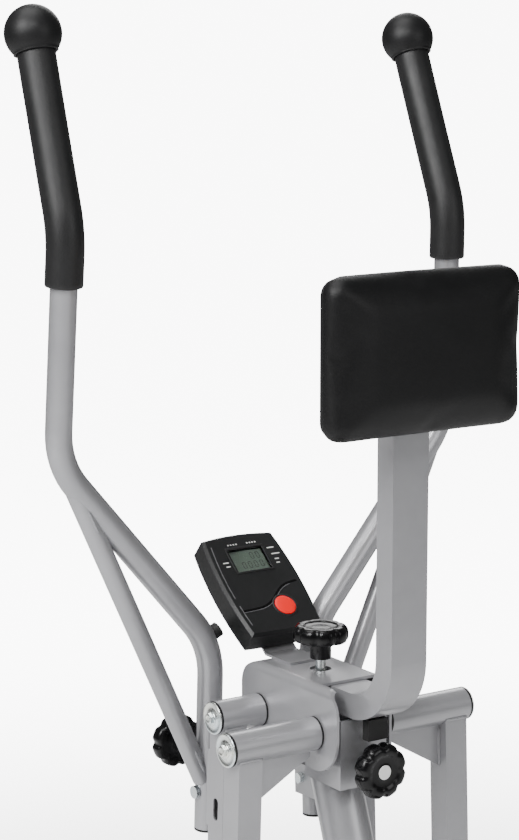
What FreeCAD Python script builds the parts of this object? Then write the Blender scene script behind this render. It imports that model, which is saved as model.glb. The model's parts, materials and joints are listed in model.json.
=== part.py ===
import FreeCAD, Part
import math
import os

import Sketcher
from FreeCAD import Placement, Rotation, Vector

# Pendulum glider for the whole body.
# Every sub-part is drawn about the head centre: the point midway between the two axles.
# x runs to the user's right, y forwards (the way the user faces) and z up.
# A Placement then lifts the sub-part to the axle height.
# It also turns what hangs on an axle by the swing angle.

doc = FreeCAD.newDocument("Glider")
sheet = doc.addObject("Spreadsheet::Sheet", "Sizes")

SIZES = [
    ("axle_height", 750.0, "axles above the floor"),
    ("axle_gap", 116.0, "between the two axles"),
    ("head_y", 45.3, "head centre in front of the middle of the whole machine"),
    ("swing_left", 2.5, "stored swing of the left side, top towards the user"),
    ("swing_right", -2.5, "stored swing of the right side"),
    ("running_gap", 0.3, "between parts that move past each other"),
    ("head_half_width", 49.5, "centre plane to the outside of a side plate"),
    ("head_plate", 3.5, "plate thickness of the head bracket"),
    ("head_top", 57.0, "top face of the head above the axles"),
    ("head_lobe", 45.0, "radius of a side plate round the rear axle"),
    ("head_front_lobe", 39.0, "radius of a side plate round the front axle"),
    ("head_corner", 31.0, "radius of a side plate's upper corners"),
    ("head_bend", 11.0, "outer radius of the bends between top and side plates"),
    ("knob_hole_radius", 13.0, "hole in the top of the head"),
    ("axle_radius", 8.0, "axle"),
    ("axle_fit", 0.05, "radial clearance of the axles and pins"),
    ("pivot_radius", 20.0, "pivot tube, outside"),
    ("bush_radius", 17.5, "bush, outside, and pivot tube, inside"),
    ("bush_flange", 2.2, "thickness of a bush flange"),
    ("bush_length", 18.0, "length of a bush without its flange"),
    ("washer_thick", 2.5, "washers at the ends of the axles"),
    ("axle_head", 5.5, "height of the bolt heads at the ends of the axles"),
    ("rear_end", 170.0, "centre plane to the outer end of a rear pivot tube"),
    ("front_end", 113.5, "centre plane to the outer end of a front pivot tube"),
    ("leg_side", 32.0, "square leg tube"),
    ("leg_wall", 2.0, "wall of the leg tube"),
    ("leg_length", 610.0, "upper to lower pivot"),
    ("leg_tail", 24.0, "leg below its lower pivot"),
    ("pin_radius", 5.0, "pivot bolts of the pedals and of the fold hinge"),
    ("pin_clearance", 0.35, "radial clearance of the pins in the legs"),
    ("screw_radius", 4.0, "bolts and studs of the handles and of the fold knob"),
    ("rear_leg_x", 149.0, "centre plane to the middle of a rear leg"),
    ("front_leg_x", 94.0, "centre plane to the middle of a front leg"),
    ("post_radius", 30.0, "main post, outside"),
    ("post_wall", 2.5, "wall of the main post"),
    ("post_slant", 20.0, "main post from upright"),
    ("bar_radius", 25.0, "floor bars, outside"),
    ("bar_half_length", 262.0, "half a floor bar"),
    ("bar_height", 32.0, "floor bar axis above the floor"),
    ("cap_radius", 33.0, "floor caps"),
    ("cap_length", 45.0, "floor caps, along the bar"),
    ("cap_end", 7.0, "thickness of a floor cap's end"),
    ("hinge_y", -32.0, "fold hinge, from the head centre"),
    ("hinge_z", -215.0, "fold hinge, from the head centre"),
    ("front_foot_y", 340.0, "front floor bar, from the head centre"),
    ("strut_side", 40.0, "square front strut"),
    ("handle_radius", 16.0, "handle tube, outside"),
    ("handle_x", 77.0, "lower end of the handle tube"),
    ("handle_y", 127.0, "lower end of the handle tube"),
    ("grip_x", 293.0, "grips, from the centre plane"),
    ("grip_radius", 22.3, "foam grip"),
    ("ball_radius", 33.3, "ball on a grip"),
    ("brace_radius", 12.5, "brace of the handle"),
    ("pad_width", 264.0, "cushion"),
    ("pad_height", 180.0, "cushion"),
    ("pad_depth", 42.0, "cushion"),
    ("pad_centre", 463.0, "middle of the cushion above the axles"),
    ("pad_post_width", 50.0, "pad post, across"),
    ("pad_post_depth", 30.0, "pad post, fore and aft"),
    ("pad_reach", 159.0, "middle of the upright behind the head centre"),
    ("knob_radius", 33.5, "star knobs"),
    ("knob_wheel", 21.0, "thickness of a star wheel"),
    ("knob_hub", 20.0, "length of a star knob's hub"),
    ("knob_hub_radius", 12.8, "star knob's hub"),
    ("stud_radius", 6.0, "stud of the pad knob"),
    ("console_tilt", 40.0, "computer face from level"),
    ("console_length", 150.0, "computer, up its face"),
    ("console_width", 104.0, "computer, at its ends"),
    ("console_depth", 33.0, "computer, through"),
    ("button_radius", 14.0, "red button"),
    ("pedal_length", 325.0, "foot plate"),
    ("pedal_width", 128.0, "foot plate"),
    ("pedal_x", 166.0, "middle of a foot plate"),
    ("pedal_rim", 24.0, "height of the rim of a foot plate"),
]

VALUES = {}
for row, (alias, value, meaning) in enumerate(SIZES, start=1):
    sheet.set("A%d" % row, str(value))
    sheet.setAlias("A%d" % row, alias)
    sheet.set("B%d" % row, meaning)
    VALUES[alias] = value
doc.recompute()

NODES = []
SIDES = (("left", -1), ("right", 1))

# Places in millimetres, from the head centre.
WEB_BACK = -57.0
RIGHT_PLATE_BACK = -77.0
POST_AXIS_Z = 20.0
POST_TOP = 18.0
SADDLE_FACE = -88.0
LOCK_KNOB_Z = -38.0
PAD_KNOB_Z = 70.0
HANDLE_KNOB_Z = -78.0
HANDLE_BOLT_Z = -120.0
HANDLE_LOW = -168.0
HANDLE_KNEE = 68.0
HANDLE_TOP_BEND = 316.0
GRIP_BOTTOM = 525.0
GRIP_BEND = 588.0
BALL_CENTRE = (191.0, 805.0)
BRACE_FOOT_Z = -104.0
BRACE_TOP = (269.6, 283.6)
BUMPER_SPOT = (88.0, 75.0)
PLATE_FRONT = -112.0
PAD_POST_LOW = 38.0
PAD_TAIL = 72.0
PAD_POST_TOP = 535.0
CONSOLE_CENTRE = (125.0, 138.0)

# Thicknesses, radii and gaps in millimetres.
LUG = 4.0
LUG_GAP = 0.5
LOCK_REACH = 46.0
STUD_HOLE = 5.4
STRUT_WALL = 2.5
TUBE_WALL = 2.0
BRACE_WALL = 1.8
LOW_BEND = 105.0
GRIP_BEND_RADIUS = 130.0
PAD_BEND = 64.0
BOARD = 6.0
PLATE_WALL = 5.0
PLATE_CORNER = 22.0
FRONT_SHELL = 13.0
SHELL_WALL = 2.5
BRACKET = 3.0


def size(alias):
    """Value of a driving dimension in millimetres or degrees."""
    return VALUES[alias]


def bound(text):
    """Turn @alias into the sheet's cell, so that expressions stay short."""
    return text.replace("@", "Sizes.")


# ---------------------------------------------------------------- placing

def lift(swing=None):
    """Placement that lifts a sub-part to the axles; swing is (side, "rear" / "front" / "pedal")."""
    base = Placement(Vector(0, size("head_y"), size("axle_height")), Rotation())
    if not swing:
        return base
    side, hung_on = swing
    angle = size("swing_" + side)
    if hung_on == "pedal":
        turn = math.radians(angle)
        shift = Vector(0, size("leg_length") * math.sin(turn), size("leg_length") * (1 - math.cos(turn)))
        return base * Placement(shift, Rotation())
    axle = size("axle_gap") / 2 * (1 if hung_on == "front" else -1)
    return base * Placement(Vector(), Rotation(Vector(1, 0, 0), angle), Vector(0, axle, 0))


def place(item, swing=None, local=None):
    """Place a sub-part; one drawn in its own frame also has a local placement."""
    if local:
        item.Placement = lift(swing) * local
        return
    item.Placement = Placement(Vector(), Rotation(Vector(1, 0, 0), 1))
    angle = "0"
    across = "@head_y"
    up = "@axle_height"
    if swing:
        side, hung_on = swing
        turn = "@swing_" + side
        if hung_on == "pedal":
            across += " + @leg_length * sin(%s)" % turn
            up += " + @leg_length * (1 - cos(%s))" % turn
        else:
            reach = "(@axle_gap / 2)" if hung_on == "front" else "(-@axle_gap / 2)"
            across += " + %s * (1 - cos(%s))" % (reach, turn)
            up += " - %s * sin(%s)" % (reach, turn)
            angle = turn
    item.setExpression(".Placement.Base.y", bound(across))
    item.setExpression(".Placement.Base.z", bound(up))
    item.setExpression(".Placement.Rotation.Angle", bound(angle))


def keep(item, node, swing=None, local=None):
    """Make an object a sub-part of the machine; a bare primitive is wrapped to keep its place."""
    if item.TypeId in ("Part::Box", "Part::Cylinder", "Part::Prism"):
        item = group(item.Name + "_piece", item)
    item.Label = node
    place(item, swing, local)
    NODES.append(item)
    return item


# ---------------------------------------------------------------- primitives

AXES = {
    "x": Rotation(Vector(0, 1, 0), 90),
    "y": Rotation(Vector(1, 0, 0), -90),
    "z": Rotation(),
}


def set_base(item, x, y, z):
    for letter, text in zip("xyz", (x, y, z)):
        item.setExpression(".Placement.Base." + letter, bound(text))


def rod(name, axis, start, radius, length, corners=0):
    """Cylinder, or a prism with the given corners, along an axis from its start point."""
    kind = "Part::Prism" if corners else "Part::Cylinder"
    item = doc.addObject(kind, name)
    item.Placement = Placement(Vector(), AXES[axis])
    if corners:
        item.Polygon = corners
        item.setExpression("Circumradius", bound(radius))
    else:
        item.setExpression("Radius", bound(radius))
    item.setExpression("Height", bound(length))
    set_base(item, *start)
    return item


def block(name, corner, sides):
    """Box from its lowest corner."""
    item = doc.addObject("Part::Box", name)
    for prop, text in zip(("Length", "Width", "Height"), sides):
        item.setExpression(prop, bound(text))
    set_base(item, *corner)
    return item


def cut(name, base, tool):
    item = doc.addObject("Part::Cut", name)
    item.Base = base
    item.Tool = tool
    return item


def fuse(name, *shapes):
    item = doc.addObject("Part::MultiFuse", name)
    item.Shapes = list(shapes)
    item.Refine = True
    return item


def group(name, *shapes):
    """Separate solids that share one node."""
    item = doc.addObject("Part::Compound", name)
    item.Links = list(shapes)
    return item


def mirror_x(sign, near, far):
    """Lowest x of a span near..far from the centre plane, on the side that sign names."""
    return near if sign > 0 else "-(%s)" % far


# ---------------------------------------------------------------- sketches

def new_sketch(body, name, plane, offset="0"):
    """Sketch on one of the body's own origin planes."""
    sketch = body.newObject("Sketcher::SketchObject", name)
    face = [item for item in body.Origin.OriginFeatures if item.Role == plane][0]
    sketch.AttachmentSupport = [(face, "")]
    sketch.MapMode = "FlatFace"
    sketch.setExpression(".AttachmentOffset.Base.z", bound(offset))
    return sketch


def new_body(name):
    return doc.addObject("PartDesign::Body", name)


def constrain(sketch, kind, args, text, label):
    index = sketch.addConstraint(Sketcher.Constraint(kind, *args))
    sketch.renameConstraint(index, label)
    sketch.setExpression("Constraints." + label, bound(text))


def add_circle(sketch, label, radius, x="0", y="0"):
    circle = sketch.addGeometry(Part.Circle(Vector(1, 1, 0), Vector(0, 0, 1), 5), False)
    constrain(sketch, "Radius", (circle, 5), radius, label + "_radius")
    constrain(sketch, "DistanceX", (-1, 1, circle, 3, 1), x, label + "_x")
    constrain(sketch, "DistanceY", (-1, 1, circle, 3, 1), y, label + "_y")
    return circle


def add_rectangle(sketch, label, width, height, x="0", y="0"):
    """Rectangle of bound width and height about the point x, y."""
    corners = [Vector(-5, -5, 0), Vector(5, -5, 0), Vector(5, 5, 0), Vector(-5, 5, 0)]
    sides = []
    for start, end in zip(corners, corners[1:] + corners[:1]):
        sides.append(sketch.addGeometry(Part.LineSegment(start, end), False))
    for side, following in zip(sides, sides[1:] + sides[:1]):
        sketch.addConstraint(Sketcher.Constraint("Coincident", side, 2, following, 1))
    for side in (sides[0], sides[2]):
        sketch.addConstraint(Sketcher.Constraint("Horizontal", side))
    for side in (sides[1], sides[3]):
        sketch.addConstraint(Sketcher.Constraint("Vertical", side))
    constrain(sketch, "DistanceX", (sides[0], 1, sides[0], 2, 10), width, label + "_width")
    constrain(sketch, "DistanceY", (sides[1], 1, sides[1], 2, 10), height, label + "_height")
    left = "(%s) - (%s) / 2" % (x, width)
    low = "(%s) - (%s) / 2" % (y, height)
    constrain(sketch, "DistanceX", (-1, 1, sides[0], 1, -5), left, label + "_left")
    constrain(sketch, "DistanceY", (-1, 1, sides[0], 1, -5), low, label + "_low")


def add_outline(sketch, points, closed=True):
    """Path through points; a triple ("arc", through, end) is an arc from the last point."""
    last = Vector(points[0][0], points[0][1], 0)
    edges = []
    steps = points[1:] + ([points[0]] if closed else [])
    for step in steps:
        if step[0] == "arc":
            through = Vector(step[1][0], step[1][1], 0)
            end = Vector(step[2][0], step[2][1], 0)
            edges.append(sketch.addGeometry(Part.Arc(last, through, end), False))
        else:
            end = Vector(step[0], step[1], 0)
            if (end - last).Length < 1e-6:
                continue
            edges.append(sketch.addGeometry(Part.LineSegment(last, end), False))
        last = end
    sketch.addConstraint([Sketcher.Constraint("Block", edge) for edge in edges])


def pad(body, name, sketch, length, side="One side", reverse=False):
    feature = body.newObject("PartDesign::Pad", name)
    feature.Profile = sketch
    feature.SideType = side
    feature.Reversed = reverse
    feature.setExpression("Length", bound(length))
    return feature


def pocket(body, name, sketch, length=None, side="One side", reverse=False):
    """Pocket that must take material away; without a length it goes through all."""
    doc.recompute()
    before = body.Shape.Volume
    feature = body.newObject("PartDesign::Pocket", name)
    feature.Profile = sketch
    feature.SideType = side
    feature.Reversed = reverse
    if length is None:
        feature.Type = "ThroughAll"
    else:
        feature.setExpression("Length", bound(length))
    doc.recompute()
    if not body.Shape.Volume < before - 1e-3:
        raise RuntimeError(name + " cuts nothing")
    return feature


def soften(body, name, kind, edge_test, amount):
    """Fillet or chamfer of the tip's edges that pass the test."""
    doc.recompute()
    base = body.Tip
    edges = []
    for number, edge in enumerate(base.Shape.Edges, start=1):
        if edge_test(edge):
            edges.append("Edge%d" % number)
    feature = body.newObject("PartDesign::" + kind, name)
    feature.Base = (base, edges)
    feature.setExpression("Radius" if kind == "Fillet" else "Size", bound(amount))
    return feature


def edge_at(**limits):
    """Test for edges whose whole box lies at the given x, y or z."""
    def test(edge):
        box = edge.BoundBox
        for axis, value in limits.items():
            low = getattr(box, axis.upper() + "Min")
            high = getattr(box, axis.upper() + "Max")
            if abs(low - value) > 0.01 or abs(high - value) > 0.01:
                return False
        return True
    return test


# ---------------------------------------------------------------- bent tubes

def bent_path(points, bend_radius):
    """Straight runs through the points, joined by tangent arcs of one radius."""
    edges = []
    last = points[0]
    for before, corner, after in zip(points, points[1:], points[2:]):
        arriving = (corner - before).normalize()
        leaving = (after - corner).normalize()
        turn = arriving.getAngle(leaving)
        cut_back = bend_radius * math.tan(turn / 2)
        start = corner - arriving * cut_back
        end = corner + leaving * cut_back
        inward = (leaving - arriving).normalize()
        middle = corner + inward * (bend_radius / math.cos(turn / 2) - bend_radius)
        edges.append(Part.LineSegment(last, start).toShape())
        edges.append(Part.Arc(start, middle, end).toShape())
        last = end
    edges.append(Part.LineSegment(last, points[-1]).toShape())
    return Part.Wire(edges)


def along(path, radius):
    """Solid of round section along a path."""
    start = path.Edges[0].valueAt(path.Edges[0].FirstParameter)
    heading = path.Edges[0].tangentAt(path.Edges[0].FirstParameter)
    ring = Part.Wire(Part.makeCircle(radius, start, heading))
    return path.makePipeShell([ring], True, False)


def feature_of(name, shape):
    item = doc.addObject("Part::Feature", name)
    item.Shape = shape
    return item


# ---------------------------------------------------------------- head

def on_circle(centre, radius, degrees):
    """Point of a circle, at an angle from the sketch's first axis."""
    turn = math.radians(degrees)
    return centre[0] + radius * math.cos(turn), centre[1] + radius * math.sin(turn)


def head_outline():
    """Side view of the head: round upper corners, and a lobe round each axle."""
    top = size("head_top")
    corner = size("head_corner")
    rear = (-size("axle_gap") / 2, 0.0)
    front = (size("axle_gap") / 2, 0.0)
    rear_edge = rear[0] - size("head_lobe")
    front_lobe = size("head_front_lobe")
    front_edge = front[0] + front_lobe
    rear_corner = (rear_edge + corner, top - corner)
    front_corner = (front_edge - corner, top - corner)
    return [
        (rear_corner[0], top),
        (front_corner[0], top),
        ("arc", on_circle(front_corner, corner, 45), (front_edge, top - corner)),
        (front_edge, 0.0),
        ("arc", on_circle(front, front_lobe, -65), on_circle(front, front_lobe, -130)),
        on_circle(rear, size("head_lobe"), -50),
        ("arc", on_circle(rear, size("head_lobe"), -115), (rear_edge, 0.0)),
        (rear_edge, top - corner),
        ("arc", on_circle(rear_corner, corner, 135), (rear_corner[0], top)),
    ]


def head_section():
    """Front view of the bent plate: two sides, a web and two round bends."""
    outside = size("head_half_width")
    inside = outside - size("head_plate")
    top = size("head_top")
    under = top - size("head_plate")
    flat = outside - size("head_bend")
    bend = size("head_bend")
    inner_bend = bend - size("head_plate")
    low = -size("head_lobe") - 5
    knee = top - bend
    return [
        (-outside, low),
        (-outside, knee),
        ("arc", on_circle((-flat, knee), bend, 135), (-flat, top)),
        (flat, top),
        ("arc", on_circle((flat, knee), bend, 45), (outside, knee)),
        (outside, low),
        (inside, low),
        (inside, knee),
        ("arc", on_circle((flat, knee), inner_bend, 45), (flat, under)),
        (-flat, under),
        ("arc", on_circle((-flat, knee), inner_bend, 135), (-inside, knee)),
        (-inside, low),
    ]


def make_head_bracket():
    """Plate bent to an inverted U, trimmed to its side view and bored."""
    body = new_body("HeadBody")
    section = new_sketch(body, "HeadSection", "XZ_Plane")
    add_outline(section, head_section())
    pad(body, "HeadBlank", section, "300", side="Symmetric")
    outline = new_sketch(body, "HeadOutline", "YZ_Plane")
    add_outline(outline, head_outline())
    add_rectangle(outline, "waste", "400", "300")
    pocket(body, "HeadTrim", outline, side="Symmetric")
    holes = new_sketch(body, "HeadAxles", "YZ_Plane")
    add_circle(holes, "rear", "@axle_radius + @axle_fit", x="-@axle_gap / 2")
    add_circle(holes, "front", "@axle_radius + @axle_fit", x="@axle_gap / 2")
    pocket(body, "HeadBores", holes, side="Symmetric")
    window = new_sketch(body, "HeadTopHole", "XY_Plane")
    add_circle(window, "top", "@knob_hole_radius")
    pocket(body, "HeadKnobHole", window, reverse=True)
    notch = new_sketch(body, "HeadNotch", "XY_Plane")
    width = "2 * (@head_half_width - @head_bend)"
    add_rectangle(notch, "notch", width, "60", y="%g" % (WEB_BACK - 30))
    pocket(body, "HeadNotchCut", notch, reverse=True)
    trim = new_sketch(body, "HeadRightTrim", "XY_Plane")
    add_rectangle(trim, "trim", "30", "60", x="@head_half_width", y="%g" % (RIGHT_PLATE_BACK - 30))
    pocket(body, "HeadRightTrimCut", trim, side="Symmetric")
    keep(body, "head_bracket")


def post_point(z):
    """Point of the post's axis at a height; the axis passes 20 mm above the head centre."""
    return Vector(0, (z - POST_AXIS_Z) * math.tan(math.radians(size("post_slant"))), z)


def slanted(radius, bottom_z, top_z):
    """Round bar along the post's axis, cut level at both ends."""
    low = post_point(bottom_z - 2 * radius)
    high = post_point(top_z + 2 * radius)
    bar = Part.makeCylinder(radius, (high - low).Length, low, high - low)
    slab = Part.makeBox(200, 600, top_z - bottom_z, Vector(-100, -500, bottom_z))
    return bar.common(slab)


def cross_bar(radius, centre, half_length=60.0):
    """Round bar across the machine, about a point of the centre plane."""
    start = centre - Vector(half_length, 0, 0)
    return Part.makeCylinder(radius, 2 * half_length, start, Vector(1, 0, 0))


def hinge_centre():
    return Vector(0, size("hinge_y"), size("hinge_z"))


def round_hinge(reach, degrees, x=0.0):
    """Point at a distance from the fold hinge, at an angle from straight down to the front."""
    turn = math.radians(degrees)
    return hinge_centre() + Vector(x, reach * math.sin(turn), -reach * math.cos(turn))


def fold_arc(radius, half_thick, low_angle, high_angle):
    """Slot about the fold hinge, between two angles from straight down to the front."""
    ring = cross_bar(radius + half_thick, hinge_centre())
    ring = ring.cut(cross_bar(radius - half_thick, hinge_centre()))
    corners = [hinge_centre() - Vector(60, 0, 0)]
    for angle in (low_angle, (low_angle + high_angle) / 2, high_angle):
        corners.append(round_hinge(3 * radius, angle, x=-60))
    wedge = Part.Face(Part.makePolygon(corners + corners[:1])).extrude(Vector(120, 0, 0))
    ends = []
    for angle in (low_angle, high_angle):
        ends.append(cross_bar(half_thick, round_hinge(radius, angle)))
    return ring.common(wedge).multiFuse(ends)


def strut_angle():
    """Front strut from straight down, in degrees."""
    run = size("front_foot_y") - size("hinge_y")
    drop = size("axle_height") - size("bar_height") + size("hinge_z")
    return math.degrees(math.atan2(run, drop))


def make_hinge_lugs():
    """Two plates of the fold hinge: a round eye, a sector with the lock slot and a root."""
    hinge = hinge_centre()
    inner = size("strut_side") / 2 + LUG_GAP
    lugs = []
    for x in (inner, -inner - LUG):
        start = hinge + Vector(x, 0, 0)
        eye = Part.makeCylinder(24, LUG, start, Vector(1, 0, 0))
        sector = Part.makeCylinder(LOCK_REACH + 12, LUG, start, Vector(1, 0, 0))
        below = Part.makeBox(LUG, 110, 110, start + Vector(0, -70, -100))
        root = Part.makeBox(LUG, 46, 60, start + Vector(0, -52, -36))
        lugs += [eye, sector.common(below), root]
    return lugs


def make_main_post():
    """Slanted post with the two lugs of the fold hinge welded to it."""
    floor_bar = size("bar_height") - size("axle_height")
    post = slanted(size("post_radius"), floor_bar, POST_TOP).multiFuse(make_hinge_lugs())
    inside = size("post_radius") - size("post_wall")
    lock_hole = Part.makeCylinder(STUD_HOLE, 40, Vector(0, -70, LOCK_KNOB_Z), Vector(0, 1, 0))
    for tool in (
        slanted(inside, floor_bar - 50, POST_TOP + 60),
        cross_bar(size("bar_radius"), post_point(floor_bar)),
        cross_bar(size("pin_radius") + size("axle_fit"), hinge_centre()),
        fold_arc(LOCK_REACH, size("screw_radius") + 0.4, -size("post_slant"), strut_angle()),
        lock_hole,
    ):
        post = post.cut(tool)
    keep(feature_of("MainPost", post), "main_post")


def make_saddle():
    """U bracket round the user's side of the post; the rear axle passes through its flanges."""
    outer = block("SaddleOuter", ("-33.2", str(SADDLE_FACE), "-66"), ("66.4", "72", "84"))
    inner = block("SaddleRoom", ("-30.2", str(SADDLE_FACE + 3), "-70"), ("60.4", "90", "100"))
    shell = cut("SaddleShell", outer, inner)
    bore = rod("SaddleBore", "x", ("-50", "-@axle_gap / 2", "0"), "@axle_radius + @axle_fit", "100")
    stud = rod("SaddleStudHole", "y", ("0", "-100", str(LOCK_KNOB_Z)), str(STUD_HOLE), "40")
    keep(cut("Saddle", shell, fuse("SaddleHoles", bore, stud)), "post_saddle")


AXLES = (("rear", "-@axle_gap / 2"), ("front", "@axle_gap / 2"))


def make_axles():
    for place_of, y in AXLES:
        reach = "(@%s_end + @bush_flange + @running_gap)" % place_of
        item = rod(place_of + "_axle_rod", "x", ("-" + reach, y, "0"), "@axle_radius", "2 * " + reach)
        keep(item, place_of + "_axle")


def make_axle_fasteners():
    """Washer and bolt head at each end of both axles."""
    pieces = []
    for place_of, y in AXLES:
        near = "@%s_end + @bush_flange + @running_gap" % place_of
        middle = near + " + @washer_thick"
        far = middle + " + @axle_head"
        for side, sign in SIDES:
            tag = "%s_%s" % (side, place_of)
            start = (mirror_x(sign, near, middle), y, "0")
            pieces.append(rod("Washer_" + tag, "x", start, "@pivot_radius", "@washer_thick"))
            start = (mirror_x(sign, middle, far), y, "0")
            pieces.append(rod("BoltHead_" + tag, "x", start, "7.5", "@axle_head", corners=6))
    keep(group("AxleFasteners", *pieces), "axle_end_fasteners")


def make_clamp_nut():
    """Plate across the head with a nut under it, for the stud of the pad knob."""
    inside = "(@head_half_width - @head_plate)"
    plate = block("ClampPlate", ("-" + inside, "-20", "18.4"), ("2 * " + inside, "40", "4.2"))
    nut = rod("ClampNutHex", "z", ("0", "0", "8"), "11", "10.4", corners=6)
    bore = rod("ClampBore", "z", ("0", "0", "0"), "@stud_radius + @axle_fit", "40")
    keep(cut("ClampNut", fuse("ClampSolid", plate, nut), bore), "clamp_nut")


# ---------------------------------------------------------------- stand

def make_floor_bar(name, y):
    low = "@bar_height - @axle_height"
    start = ("-@bar_half_length", y, low)
    outer = rod(name + "_outer", "x", start, "@bar_radius", "2 * @bar_half_length")
    inner = rod(name + "_inner", "x", start, "@bar_radius - 2", "2 * @bar_half_length")
    keep(cut(name + "_tube", outer, inner), name)


def make_floor_caps(name, y):
    """Cap on each end of a floor bar, flat where it stands on the floor."""
    pieces = []
    low = "@bar_height - @axle_height"
    far = "@bar_half_length + @cap_end"
    near = far + " - @cap_length"
    for side, sign in SIDES:
        tag = "%s_%s" % (name, side)
        cap = rod(tag + "_outer", "x", (mirror_x(sign, near, far), y, low), "@cap_radius", "@cap_length")
        start = (mirror_x(sign, "@bar_half_length - @cap_length", "@bar_half_length"), y, low)
        bore = rod(tag + "_bore", "x", start, "@bar_radius", "@cap_length")
        below = block(tag + "_floor", ("-400", y + " - 50", "-@axle_height - 20"), ("800", "100", "20"))
        pieces.append(cut(tag, cut(tag + "_socket", cap, bore), below))
    keep(group(name + "_pair", *pieces), name)


def make_front_strut():
    """Square tube from the fold hinge to the front floor bar."""
    side = size("strut_side")
    run = size("front_foot_y") - size("hinge_y")
    length = run / math.sin(math.radians(strut_angle()))
    tube = Part.makeBox(side, side, length, Vector(-side / 2, -side / 2, -length))
    tube = tube.fuse(Part.makeCylinder(side / 2, side, Vector(-side / 2, 0, 0), Vector(1, 0, 0)))
    room = side - 2 * STRUT_WALL
    low = -length - 2 * STRUT_WALL
    tube = tube.cut(Part.makeBox(room, room, length, Vector(-room / 2, -room / 2, low)))
    tube.Placement = Placement(hinge_centre(), Rotation(Vector(1, 0, 0), strut_angle()))
    fit = size("axle_fit")
    tube = tube.cut(cross_bar(size("pin_radius") + fit, hinge_centre()))
    tube = tube.cut(cross_bar(size("screw_radius") + fit, round_hinge(LOCK_REACH, strut_angle())))
    tube = tube.cut(cross_bar(size("bar_radius"), round_hinge(length, strut_angle())))
    keep(feature_of("FrontStrut", tube), "front_strut")


def make_fold_bolt():
    """Pivot bolt of the fold: shank, round head and nut."""
    reach = "(@strut_side / 2 + %g)" % (LUG_GAP + LUG)
    y = "@hinge_y"
    z = "@hinge_z"
    shank = rod("FoldShank", "x", ("-%s - 8" % reach, y, z), "@pin_radius", "2 * %s + 12" % reach)
    head = rod("FoldHead", "x", (reach, y, z), "10", "5")
    nut = rod("FoldNut", "x", ("-%s - 8" % reach, y, z), "9.5", "8", corners=6)
    keep(fuse("FoldBolt", shank, head, nut), "fold_bolt")


# ---------------------------------------------------------------- knobs

def make_star_knob(node, local, stud="0", swing=None):
    """Star knob; in its own frame z = 0 is the end of the hub and a stud points down."""
    body = new_body(node + "_body")
    wheel = new_sketch(body, node + "_wheel_circle", "XY_Plane", "@knob_hub")
    add_circle(wheel, "wheel", "@knob_radius")
    pad(body, node + "_wheel", wheel, "@knob_wheel")
    hub = new_sketch(body, node + "_hub_circle", "XY_Plane")
    add_circle(hub, "hub", "@knob_hub_radius")
    pad(body, node + "_hub", hub, "@knob_hub + 1")
    if stud != "0":
        shank = new_sketch(body, node + "_stud_circle", "XY_Plane")
        add_circle(shank, "stud", "@screw_radius")
        pad(body, node + "_stud", shank, stud, reverse=True)
    hollow = new_sketch(body, node + "_finger_circle", "XY_Plane", "@knob_hub - 1")
    add_circle(hollow, "finger", "8", x="@knob_radius + 4")
    finger = pocket(body, node + "_finger", hollow, "@knob_wheel + 2", reverse=True)
    ring = body.newObject("PartDesign::PolarPattern", node + "_fingers")
    ring.Originals = [finger]
    ring.Axis = (hollow, ["N_Axis"])
    ring.Angle = 360
    ring.Occurrences = 8
    body.Tip = ring
    dish = new_sketch(body, node + "_dish_circle", "XY_Plane", "@knob_hub + @knob_wheel")
    add_circle(dish, "dish", "@knob_radius - 13")
    pocket(body, node + "_dish", dish, "3")
    return keep(body, node, swing, local)


FACING_USER = Rotation(Vector(1, 0, 0), 90)
FACING_FRONT = Rotation(Vector(1, 0, 0), -90)
FACING_RIGHT = Rotation(Vector(0, 1, 0), 90)


def make_knobs():
    """Pad knob on top of the head, lock knob facing the user, fold knob at the strut."""
    make_star_knob("pad_knob", Placement(Vector(0, 0, PAD_KNOB_Z), Rotation()))
    stud = rod("PadStud", "z", ("0", "0", "5"), "@stud_radius", str(PAD_KNOB_Z - 5))
    keep(stud, "pad_knob_stud")
    make_star_knob("lock_knob", Placement(Vector(0, SADDLE_FACE - 3, LOCK_KNOB_Z), FACING_USER))
    stud = rod("LockStud", "y", ("0", str(SADDLE_FACE - 3), str(LOCK_KNOB_Z)), "5", "44")
    keep(stud, "lock_knob_stud")
    outside = size("strut_side") / 2 + LUG_GAP + LUG
    spot = round_hinge(LOCK_REACH, strut_angle(), x=outside + 1)
    make_star_knob("fold_knob", Placement(spot, FACING_RIGHT), stud=str(2 * outside + 3))


# ---------------------------------------------------------------- swinging legs

def leg_tube(tag, sign, x, y):
    """Square hollow leg from its pivot tube to its lower pivot; returns outside and inside."""
    left = "%d * %s - @leg_side / 2" % (sign, x)
    back = y + " - @leg_side / 2"
    low = "-@leg_length - @leg_tail"
    sides = ("@leg_side", "@leg_side", "@leg_length + @leg_tail - 8")
    outside = block(tag + "_outside", (left, back, low), sides)
    room = "@leg_side - 2 * @leg_wall"
    corner = (left + " + @leg_wall", back + " + @leg_wall", low + " - 1")
    inside = block(tag + "_inside", corner, (room, room, "@leg_length + @leg_tail - 7"))
    return outside, inside


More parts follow.
